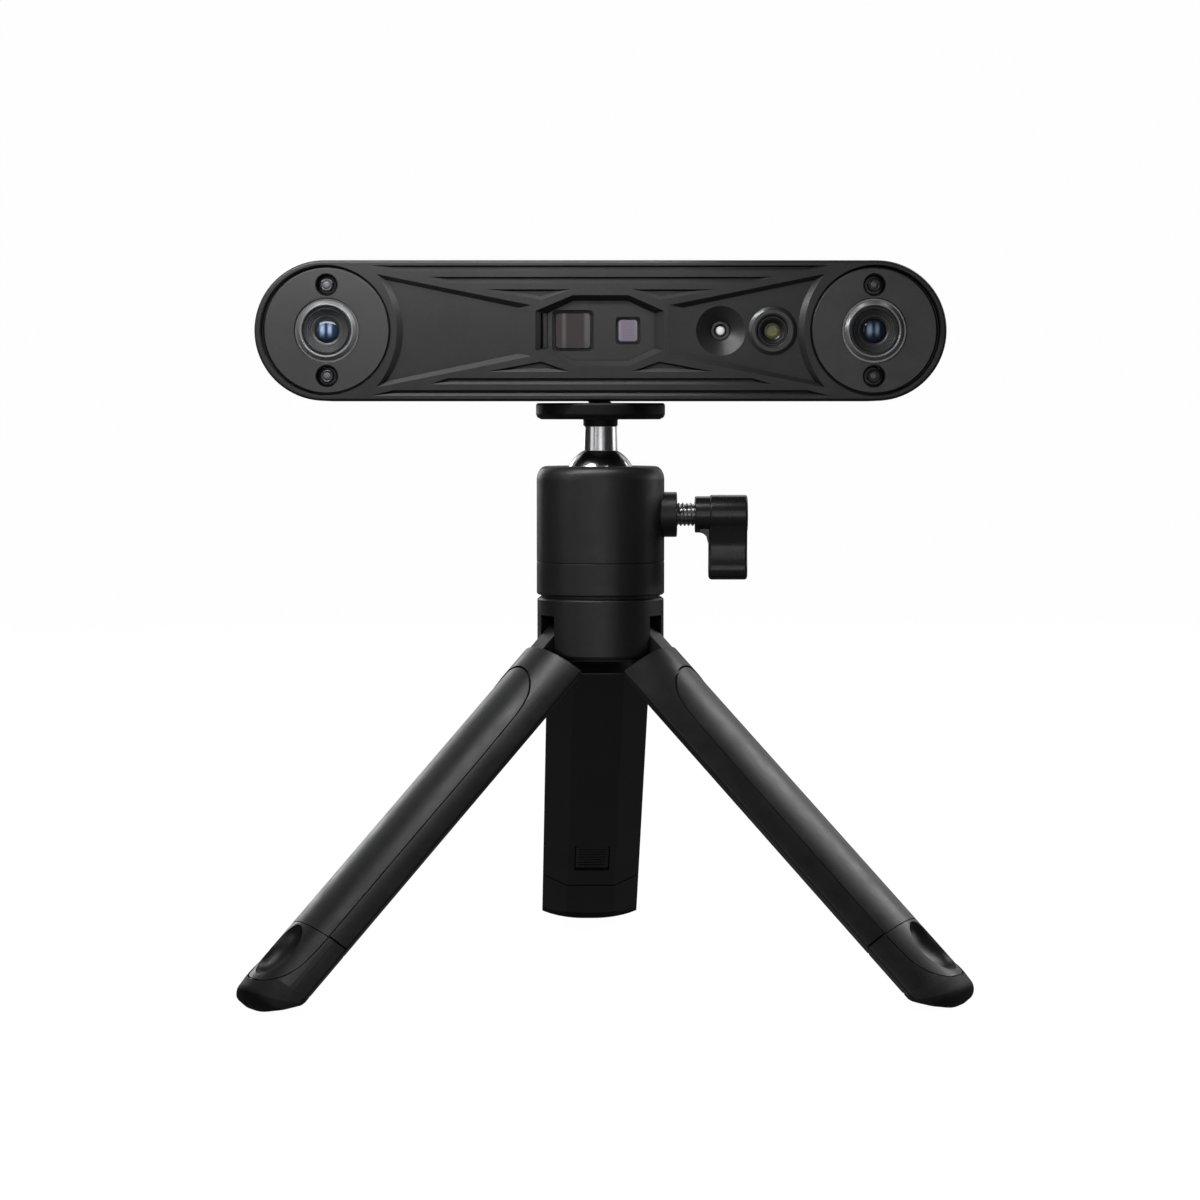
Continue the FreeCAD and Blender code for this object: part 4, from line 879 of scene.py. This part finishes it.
# plate finish darkened to paint the shade under the scanner
finish(pl, "mount_plate_disc", "stem", M["plate_black_painted_shade"], ["mount_plate"], sharp=34)
pad = lathe(rp([(4.6, P1 - 0.9), (14.8, P1 - 0.9), (14.8, P1, 0.15)] + [(r, P1 - d, 0.06) for k in range(9) for r, d in ((14.1 - k, 0.0), (14.0 - k, 0.16), (13.7 - k, 0.16), (13.6 - k, 0.0))] + [(4.6, P1, 0.1)], 2), 128, "z")
finish(pad, "plate_pad_ribbed", "stem", M["pad_rubber"], ["plate_pad"], sharp=40)
k = 14
low = [(4.33 * i / k, 127.0 + math.sqrt(9.18 ** 2 - (4.33 * i / k) ** 2)) for i in range(k + 1)]
st = lathe(low + rp([(4.33, 141.1, 0.1), (4.1, 141.4, 0.05), (0, 141.4)])[:-1] + [(0, 141.4)], 128, "z")
finish(st, "stem_polished", "stem", M["chrome"], ["ball_stem"], sharp=50)
finish(ball_at(9.1, (0, 0, 127.0), 128, 64), "ball_polished", "ball", M["chrome"], ["ball"], sharp=60)
# quarter-inch thread


def thread(r0, depth, pitch, h0, h1, seg=48, per=12, plain=0.0, crest=0.12):
    rows = int((h1 - h0) / pitch * per)
    rings = []
    for i in range(rows + 1):
        h = h0 + (h1 - h0) * i / rows
        ring = []
        for j in range(seg):
            f = ((h - h0) / pitch - j / seg) % 1.0
            t = min(1.0, max(0.0, (abs(2 * f - 1) - crest) / (1 - 2 * crest)))
            fade = min(1.0, max(0.0, (h - h0 - plain) / (0.5 * pitch)), max(0.0, (h1 - h) / (0.5 * pitch)) + 0.4)
            rr = r0 - depth * t * fade - depth * (1 - fade) * 0.15
            a = 2 * math.pi * j / seg
            ring.append((rr * math.cos(a), rr * math.sin(a), h))
        rings.append(ring)
    return loft(rings)


th = thread(3.175, 0.6, 1.27, P1 - 0.9, 152.9, per=10)
finish(th, "camera_screw_thread", "stem", M["thread_steel"], ["camera_screw"], sharp=50)

# ------------------------------------------------------------------ head
HR, KZ = 16.3, 118.75
ell = [(13.9 + 2.4 * math.cos(t), 127.6 + 3.5 * math.sin(t)) for t in [math.pi / 2 * i / 14 for i in range(15)]]
sph = [(9.2 * math.cos(t), 127.0 + 9.2 * math.sin(t)) for t in [math.radians(-3.1 + (20.0 + 3.1) * i / 9) for i in range(10)]]
out = [(12.2, 106.75), (HR - 0.15, 106.75), (HR, 106.9)] + ell + rp([(13.0, 131.1), (9.75, 131.1, 0.25), (8.645, 130.15), (8.6, 130.1)])[:-1]
out += sph[::-1] + [(9.4, 126.5), (9.4, 113.2), (2.8, 113.2), (2.8, 111.2), (12.2, 111.2)]
head = lathe(out, 160, "z")
nub = lathe(rp([(0, 12.5), (5.75, 12.5), (5.75, 19.5, 0.35), (3.5, 19.5, 0.1), (3.06, 19.2), (0, 19.2)], 4), 96, "x", (0, 0, KZ))
boo(head, nub, "UNION")
boo(head, tube_x(4.0, 6.0, 13.4, 0, KZ))
boo(head, tube_x(3.06, 12.0, 21.0, 0, KZ))
finish(head, "head_housing_body", "head", M["head_black"], ["head_housing"], sharp=30)
hb = lathe(rp([(3.175, 97.7), (15.2, 97.7, 0.1), (15.2, 98.4), (HR - 0.4, 98.4, 0.12), (HR, 98.8, 0.2), (HR, 106.7, 0.15), (12.13, 106.7), (12.13, 111.1, 0.1), (2.5, 111.1), (2.5, 105.2), (3.175, 105.2)]), 160, "z")
finish(hb, "head_base_ring", "tripod_hub", M["head_black"], ["head_base"], sharp=34)

# clamp screw and wing knob
sc = thread(3.0, 0.5, 1.0, 12.0, 35.8, seg=48, per=10, plain=1.6)
move(sc, Matrix.Translation((0, 0, KZ)) @ Matrix(((0, 0, 1, 0), (0, 1, 0, 0), (-1, 0, 0, 0), (0, 0, 0, 1))))
finish(sc, "clamp_screw_thread", "knob", M["thread_steel"], ["clamp_screw"], sharp=50)


def arcs(pts, n=6, r=60.0):
    return rp([(a, b, r) for a, b in pts], n)


kn = lathe(rp([(0, 24.1), (4.65, 24.1, 0.3), (4.65, 27.9, 0.1), (5.0, 28.2, 0.3), (5.0, 37.5, 0.7), (2.4, 37.5, 0.1), (2.2, 37.2), (0, 37.2)], 5), 112, "x", (0, 0, KZ))
half = [(4.85, 0.6), (4.5, -1.6), (3.7, -4.5), (2.9, -8.2), (3.5, -11.5), (4.2, -13.6), (3.6, -16.0), (2.0, -16.6)]
wing = arcs(half + [(-a, b) for a, b in half[::-1]])
E = 0.75
rings = []
for t in [math.pi / 2 * i / 5 for i in range(6)]:
    rings.append(([(y, z) for y, z in inward(wing, E * (1 - math.sin(t)))], 27.6 + E * (1 - math.cos(t))))
for t in [math.pi / 2 * i / 5 for i in range(5, -1, -1)]:
    rings.append(([(y, z) for y, z in inward(wing, E * (1 - math.sin(t)))], 37.4 - E * (1 - math.cos(t))))
wg = loft([[(x, y, KZ + z) for y, z in o] for o, x in rings])
web = rp([(25.2, -2.0), (25.2, -4.5, 0.3), (26.3, -4.9, 1.0), (27.1, -5.6, 1.2), (27.55, -7.4, 0.4), (28.6, -7.4), (28.6, -2.0)], 5)
wb = loft([[(x, y, KZ + z) for x, z in (web if abs(y) < 2.8 else inward(web, 0.15))] for y in (-2.9, -2.75, 2.75, 2.9)])
boo(kn, wg, "UNION")
boo(kn, wb, "UNION")
boo(kn, tube_x(3.02, 23.0, 36.0, 0, KZ))
finish(kn, "clamp_knob_wing", "knob", M["knob_black"], ["clamp_knob"], sharp=30)

# ------------------------------------------------------------------ hub
PIV_R, PIV_Z, OPEN = 11.0, 86.87, 45.93
AZ = {"left": 211.94, "right": 331.94, "back": 91.94}
HUB_R, HZ0, HZ1 = 16.15, 82.1, 97.7


def placed(az, op=OPEN):
    # leg frame (u outward, v across, height -w below the pivot) -> tripod
    return (Matrix.Rotation(math.radians(az), 4, "Z") @ Matrix.Translation((PIV_R, 0, PIV_Z))
            @ Matrix.Rotation(math.radians(-op), 4, "Y") @ Matrix.Translation((-PIV_R, 0, 0)))


hub = lathe(rp([(3.175, 86.6), (4.8, 86.6), (4.8, HZ0, 0.15), (HUB_R - 1.2, HZ0, 0.3), (HUB_R - 0.35, HZ0 + 0.35, 0.5), (HUB_R, HZ0 + 1.2, 0.5),
                (HUB_R, HZ1 - 0.5, 0.25), (HUB_R - 0.5, HZ1, 0.15), (3.175, HZ1)], 4), 160, "z")
PINS = {"left": (-10.8, 7.5), "right": (-7.5, 10.8), "back": (-10.8, 7.5)}
pins = []
for nm, az in AZ.items():
    boo(hub, move(block(6.1, 20, -3.2, 3.2, -12, 93.3 - PIV_Z), placed(az, 0)))
    boo(hub, move(loft([[(u, v, -w) for u, w in [(3.0, 6.25), (40, 6.25), (40, 40), (3.0, 40)]] for v in (-20, 20)]), placed(az)))
    a, b = PINS[nm]
    q = [(0, a), (1.3, a), (1.5, a + 0.2), (1.5, b - 0.2), (1.3, b), (0, b)]
    pins.append(move(lathe(q, 40, "y", (PIV_R, 0, 0)), placed(az, 0)))
    lo, hi = (a - 3, b) if a < -8 else (a, b + 3)
    boo(hub, move(lathe([(0, lo), (1.52, lo), (1.52, hi), (0, hi)], 40, "y", (PIV_R, 0, 0)), placed(az, 0)))
finish(hub, "hub_body", "tripod_hub", M["hub_black"], ["hub"], sharp=30, bevel=0.16, limit=38)
finish(join(*pins), "pivot_pin_set", "tripod_hub", M["steel"], ["pivot_pins"], sharp=35)
bolt = lathe(rp([(0, 82.6), (2.4, 82.6), (4.3, 82.6, 0.3), (4.6, 83.0, 0.3), (4.6, 86.6), (3.175, 86.6), (3.175, 104.6), (2.7, 105.0), (0, 105.0)]), 80, "z")
hexa = [(2.3 * math.cos(math.pi * i / 3), 2.3 * math.sin(math.pi * i / 3)) for i in range(6)]
boo(bolt, loft([[(x, y, z) for x, y in hexa] for z in (82.0, 84.6)]))
finish(bolt, "hub_bolt_socket", "tripod_hub", M["screw_black"], ["hub_bolt"], sharp=30)

# ------------------------------------------------------------------ legs
LR, FLAT = 15.85, 3.95
T60 = math.tan(math.radians(60))


def sector(r, flat=FLAT, side=0.12, fil=0.6, n=26):
    g = side / 0.5
    A, B, C = 1 + T60 * T60, -2 * T60 * g, g * g - r * r
    uo = (-B + math.sqrt(B * B - 4 * A * C)) / (2 * A)
    vo, vi = uo * T60 - g, flat * T60 - g
    t0 = math.atan2(vo, uo)
    a = t0 - math.radians(4.5)
    mid = [(r * math.cos(t), r * math.sin(t)) for t in [a - 2 * a * i / (n - 1) for i in range(n)]]
    return rp([(flat, vi, 0.25), (uo, vo, fil)] + mid + [(uo, -vo, fil), (flat, -vi, 0.25)], 5)


def bar(outline, w0, w1, ch=0.12):
    o = [(outline, w0 + ch), (outline, w1 - ch)]
    if ch > 0:
        o = [(inward(outline, ch), w0)] + o + [(inward(outline, ch), w1)]
    return loft([[(u, v, -w) for u, v in pts] for pts, w in o])


def inlay_outline(g=0.0, w_top=13.1):
    top = [(-9.9, 24.0), (-8.9, 18.6), (-5.6, 14.6), (0.0, w_top), (5.6, 14.6), (8.9, 18.6), (9.9, 24.0)]
    pts = [(v + g * (1 if v > 0 else -1 if v < 0 else 0), w - g) for v, w in top]
    pts += [(10.15 + g, 40.0), (10.15 + g, 104.0), (9.6 + g, 110.6), (7.8 + g, 115.0 + g), (4.4, 117.7 + g), (0.0, 118.5 + g)]
    pts += [(-4.4, 117.7 + g), (-7.8 - g, 115.0 + g), (-9.6 - g, 110.6), (-10.15 - g, 104.0), (-10.15 - g, 40.0)]
    return arcs(pts, 5, 400.0)


def panel_block(pts, u0, u1):
    return loft([[(u, v, -w) for v, w in pts] for u in (u0, u1)])


def rod(r, w0=-5.0, w1=150.0, seg=240):
    return lathe([(0, -w1), (r, -w1), (r, -w0), (0, -w0)], seg, "z")


leg = bar(sector(LR), 6.8, 99.6, 0.2)
tg = [(6.45, 8.2)] + [(PIV_R - 4.55 * math.cos(t), -4.55 * math.sin(t)) for t in [math.pi * i / 24 for i in range(25)]] + [(15.55, 8.2)]
tongue = loft([[(u, v, -w) for u, w in (tg if abs(v) < 2.95 else inward(tg, 0.15))] for v in (-3.0, -2.85, 2.85, 3.0)])
boo(leg, tongue, "UNION")
boo(leg, lathe([(0, -10), (1.55, -10), (1.55, 10), (0, 10)], 40, "y", (PIV_R, 0, 0)))
clipw = block(0, 40, -20, 20, -100.7, -10)
pocket = panel_block(inlay_outline(), 9.0, 19.0)
boo(pocket, rod(LR - 1.3))
boo(leg, pocket)
boo(leg, block(6.3, 12.4, -5.6, 5.6, -101, -20))
boo(leg, block(3.0, 5.75, -4.85, 4.85, -92.7, -81.3))
boo(leg, tube_x(2.0, 4.0, 8.0, 0, -86.6, 40))
drop(clipw)
inl = panel_block(inlay_outline(-0.45), 9.0, 19.0)
boo(inl, rod(LR - 0.22), "INTERSECT")
boo(inl, rod(LR - 1.28))
boo(inl, block(0, 40, -20, 20, -130, -99.7))

lat = loft([[(u, v, w) for v, w in rrect(-4.65 + i, 4.65 - i, -91.7 + i, -81.5 - i, 0.5)] for u, i in ((4.1, 0.35), (4.2, 0.12), (4.45, 0.0), (5.0, 0.0))])
for q in range(-3, 4):
    boo(lat, block(3.9, 4.32, -3.6, 3.6, -86.6 + q * 1.15 - 0.22, -86.6 + q * 1.15 + 0.22))
boo(lat, tube_x(1.7, 4.9, 7.1, 0, -86.6, 40), "UNION")

UW = [(2.95, 99.95), (17.0, 99.95), (17.0, 123.838), (10.2, 123.287), (8.2, 121.221), (6.6, 119.08), (5.2, 116.98), (2.95, 113.28)]
RW = [(0, 99.85), (LR + 0.3, 99.85), (LR + 0.3, 116.2), (LR, 117.28), (15.6, 120.7), (14.9, 121.9), (13.8, 122.65), (12.4, 123.34), (11.2, 123.92), (0, 125.5)]


def crown(v):
    # flat in the middle, then curved up to the sides
    a = max(0.0, abs(v) - 1.4)
    return 21.15 - math.sqrt(21.15 ** 2 - a * a)


def foot_block(dw):
    prof = rp([(u, w - dw, 1.2 if 8 < u < 9 or u < 7 and w > 115 else 0.0) if w > 105 else (u, w) for u, w in UW], 4)
    rings = []
    for i in range(117):
        v = -14.5 + 29.0 * i / 116
        rings.append([(u, v, -(w - crown(v) if w > 105 else w)) for u, w in prof])
    a = loft(rings)
    b = lathe([(r, -z) for r, z in rp([(r, w - dw, 60.0 if 10 < r < 16.2 else 0) if w > 105 else (r, w) for r, w in RW], 6)], 240, "z")
    boo(a, b, "INTERSECT")
    return a


fsec = sector(LR)
whole = bar(fsec, 99.0, 127.0, 0)
boo(whole, foot_block(0.0), "INTERSECT")
upper = bar(fsec, 99.0, 127.0, 0)
boo(upper, foot_block(2.1), "INTERSECT")
sole = whole
boo(sole, foot_block(2.1))
boo(sole, block(0, 40, -20, 20, -113.0, -90))
rec = panel_block(inlay_outline(), 9.0, 19.0)
boo(rec, rod(LR - 0.22))
rim = panel_block(inlay_outline(), 9.0, 19.0)
boo(rim, panel_block(inlay_outline(-0.42), 8.0, 20.0))
boo(rim, rod(LR - 0.7))
rim2 = copy(rim)
rec2 = copy(rec)
boo(upper, rec)
boo(upper, rim)
boo(sole, rec2)
boo(sole, rim2)
boo(upper, ball_at(1.0, (LR + 0.25, 0, -108.4), 64, 32, (4.4, 5.9, 7.9)))
bar_ = block(6.5, 12.2, -5.4, 5.4, -101.0, -45.0)
boo(bar_, block(6.3, 8.7, -2.2, 2.2, -99.0, -47.0))
boo(upper, bar_, "UNION")
PARTS = [("leg", leg, "leg_black", "leg_black", 0.14), ("leg_inlay", inl, "inlay_black", "inlay_black", 0.12),
         ("foot", upper, "leg_black", "leg_black", 0.10), ("foot_sole", sole, "sole_rubber", "sole_rubber", 0.0),
         ("leg_latch", lat, "latch_black", "latch_black", 0.0)]
RIDES = {"leg": "leg", "leg_inlay": "leg", "foot": "foot", "foot_sole": "foot", "leg_latch": "latch"}
for kind, ob, sl, mt, bv in PARTS:
    if bv:
        m = ob.modifiers.new("edge", "BEVEL")
        m.width, m.segments, m.limit_method, m.use_clamp_overlap = bv, 2, "ANGLE", True
        m.angle_limit = math.radians(38)
        bake(ob)
    for nm, az in AZ.items():
        finish(copy(ob, placed(az)), "%s_%s_body" % (nm, kind), "%s_%s" % (nm, RIDES[kind]), M[mt], ["%s_%s" % (nm, kind)], sharp=30)
    drop(ob)

# ------------------------------------------------------------------ internals keep their CAD shape
INNER = {"projector_module": "module_grey", "sensor_module": "module_grey", "optical_bench": "bench_alloy", "bench_screws": "screw_black",
         "camera_boards": "board_green", "main_board": "board_green", "heat_sink": "bench_alloy", "control_boards": "board_green",
         "button_domes": "silicone", "thread_insert": "brass", "ball_seat": "nylon", "clamp_shoe": "nylon", "pan_screw": "steel"}
for n, o in NODES.items():
    if o.hide_render:
        continue
    o.data.materials.clear()
    o.data.materials.append(M[INNER.get(n, "steel")])
    if n not in INNER:
        print("CAD node still shown without a choice:", n)

# ------------------------------------------------------------------ floor, light, camera
stage_mat = bpy.data.materials.new("pale_floor")
stage_mat.use_nodes = True
nt = stage_mat.node_tree
b = nt.nodes["Principled BSDF"]
tc = nt.nodes.new("ShaderNodeTexCoord")
nz = nt.nodes.new("ShaderNodeTexNoise")
nz.inputs["Scale"].default_value = 3.0
nt.links.new(tc.outputs["Object"], nz.inputs["Vector"])
mr = nt.nodes.new("ShaderNodeMapRange")
mr.inputs["To Min"].default_value, mr.inputs["To Max"].default_value = 0.04, 0.045
nt.links.new(nz.outputs["Fac"], mr.inputs["Value"])
cc = nt.nodes.new("ShaderNodeCombineColor")
for i in range(3):
    nt.links.new(mr.outputs["Result"], cc.inputs[i])
nt.links.new(cc.outputs["Color"], b.inputs["Base Color"])
b.inputs["Roughness"].default_value = 0.9
b.inputs["Specular IOR Level"].default_value = 0.1
b.inputs["Emission Color"].default_value = (1, 1, 1, 1)
b.inputs["Emission Strength"].default_value = 0.985

prof = [(-2.5, 0.0), (2.0, 0.0)] + [(2.0 + 1.2 * math.sin(t), 1.2 - 1.2 * math.cos(t)) for t in [math.pi / 2 * i / 24 for i in range(1, 25)]] + [(3.2, 4.0)]
verts, faces = [], []
for x in (-5.0, 5.0):
    verts += [(x, y, z) for y, z in prof]
k = len(prof)
for i in range(k - 1):
    faces.append((i, i + 1, k + i + 1, k + i))
me = bpy.data.meshes.new("floor")
me.from_pydata(verts, [], faces)
floor = bpy.data.objects.new("floor", me)
bpy.context.scene.collection.objects.link(floor)
me.polygons.foreach_set("use_smooth", [True] * len(me.polygons))
me.materials.append(stage_mat)
floor.visible_diffuse = False
floor.visible_glossy = False

# white surround, so that every side of the studio is as pale as the wall behind
verts, faces, k = [], [], 48
for i in range(1, 24):
    t = math.pi * i / 24
    verts += [(9.0 * math.sin(t) * math.cos(2 * math.pi * j / k), 9.0 * math.sin(t) * math.sin(2 * math.pi * j / k), 9.0 * math.cos(t)) for j in range(k)]
for i in range(22):
    for j in range(k):
        a, b2 = i * k + j, i * k + (j + 1) % k
        faces.append((a, b2, b2 + k, a + k))
verts += [(0, 0, 9.0), (0, 0, -9.0)]
for j in range(k):
    faces.append((len(verts) - 2, (j + 1) % k, j))
    faces.append((len(verts) - 1, 22 * k + j, 22 * k + (j + 1) % k))
me = bpy.data.meshes.new("surround")
me.from_pydata(verts, [], faces)
surround = bpy.data.objects.new("surround", me)
bpy.context.scene.collection.objects.link(surround)
me.materials.append(stage_mat)
surround.visible_diffuse = False
surround.visible_glossy = False
surround.visible_transmission = False
surround.visible_shadow = False

w = bpy.data.worlds.new("studio")
bpy.context.scene.world = w
w.use_nodes = True
nt = w.node_tree
bg = nt.nodes["Background"]
tc = nt.nodes.new("ShaderNodeTexCoord")
sp = nt.nodes.new("ShaderNodeSeparateXYZ")
rr = nt.nodes.new("ShaderNodeValToRGB")
mp = nt.nodes.new("ShaderNodeMapRange")
mp.inputs["From Min"].default_value, mp.inputs["From Max"].default_value = -1.0, 1.0
nt.links.new(tc.outputs["Generated"], sp.inputs[0])
nt.links.new(sp.outputs["Z"], mp.inputs["Value"])
nt.links.new(mp.outputs["Result"], rr.inputs["Fac"])
nt.links.new(rr.outputs["Color"], bg.inputs["Color"])
rr.color_ramp.elements[0].color = (0.08, 0.08, 0.08, 1)
rr.color_ramp.elements[0].position = 0.30
rr.color_ramp.elements[1].color = (0.02, 0.02, 0.02, 1)
rr.color_ramp.elements[1].position = 0.52
bg.inputs["Strength"].default_value = 1.0


def area(name, loc, aim, sx, sy, radiance, spread=180):
    l = bpy.data.lights.new(name, "AREA")
    l.shape, l.size, l.size_y, l.energy = "RECTANGLE", sx, sy, radiance * math.pi * sx * sy
    l.spread = math.radians(spread)
    o = bpy.data.objects.new(name, l)
    o.location = loc
    o.rotation_euler = (Vector(aim) - Vector(loc)).to_track_quat("-Z", "Y").to_euler()
    o.visible_camera = False
    bpy.context.scene.collection.objects.link(o)
    return o


def dome(name, el, az, radiance, size=0.5):
    # square light on a dome round the scanner; azimuth runs from the front to the right
    e, z = math.radians(el), math.radians(az)
    d = Vector((math.cos(e) * math.sin(z), -math.cos(e) * math.cos(z), math.sin(e)))
    c = Vector((0, 0, 0.1))
    return area(name, c + d * 1.3, c, size, size, radiance)


for el, az, rad in ((12, 0, 1.0), (12, 105, 1.6), (12, 120, 1.0), (12, 150, 0.6), (12, 210, 2.6), (12, 300, 1.2),
                    (38, 120, 4.8), (38, 150, 0.7), (38, 210, 0.7), (38, 240, 0.4), (34, 180, 1.6), (60, 108, 4.2), (62, 315, 3.3)):
    dome("dome_%02d_%03d" % (el, az), el, az, rad)
area("brow_strip", (-0.05, -0.070, 0.208), (-0.05, -0.035, 0.178), 0.15, 0.01, 20.0)
area("strip_left", (-0.55, -0.85, 0.25), (0, 0, 0.13), 0.16, 0.7, 1.0)
area("front_low", (0.0, -1.0, 0.055), (0, 0, 0.05), 1.0, 0.09, 2.4)

cam = bpy.data.cameras.new("camera")
cam.sensor_width, cam.lens = 36.0, 100.82
cam.clip_start, cam.clip_end = 0.05, 30
co = bpy.data.objects.new("camera", cam)
co.location = (-0.001548, -0.87821, 0.14370)
co.rotation_euler = (math.radians(90 - 3.16), 0, 0)
bpy.context.scene.collection.objects.link(co)
bpy.context.scene.camera = co
bpy.context.scene.view_settings.view_transform = "Standard"
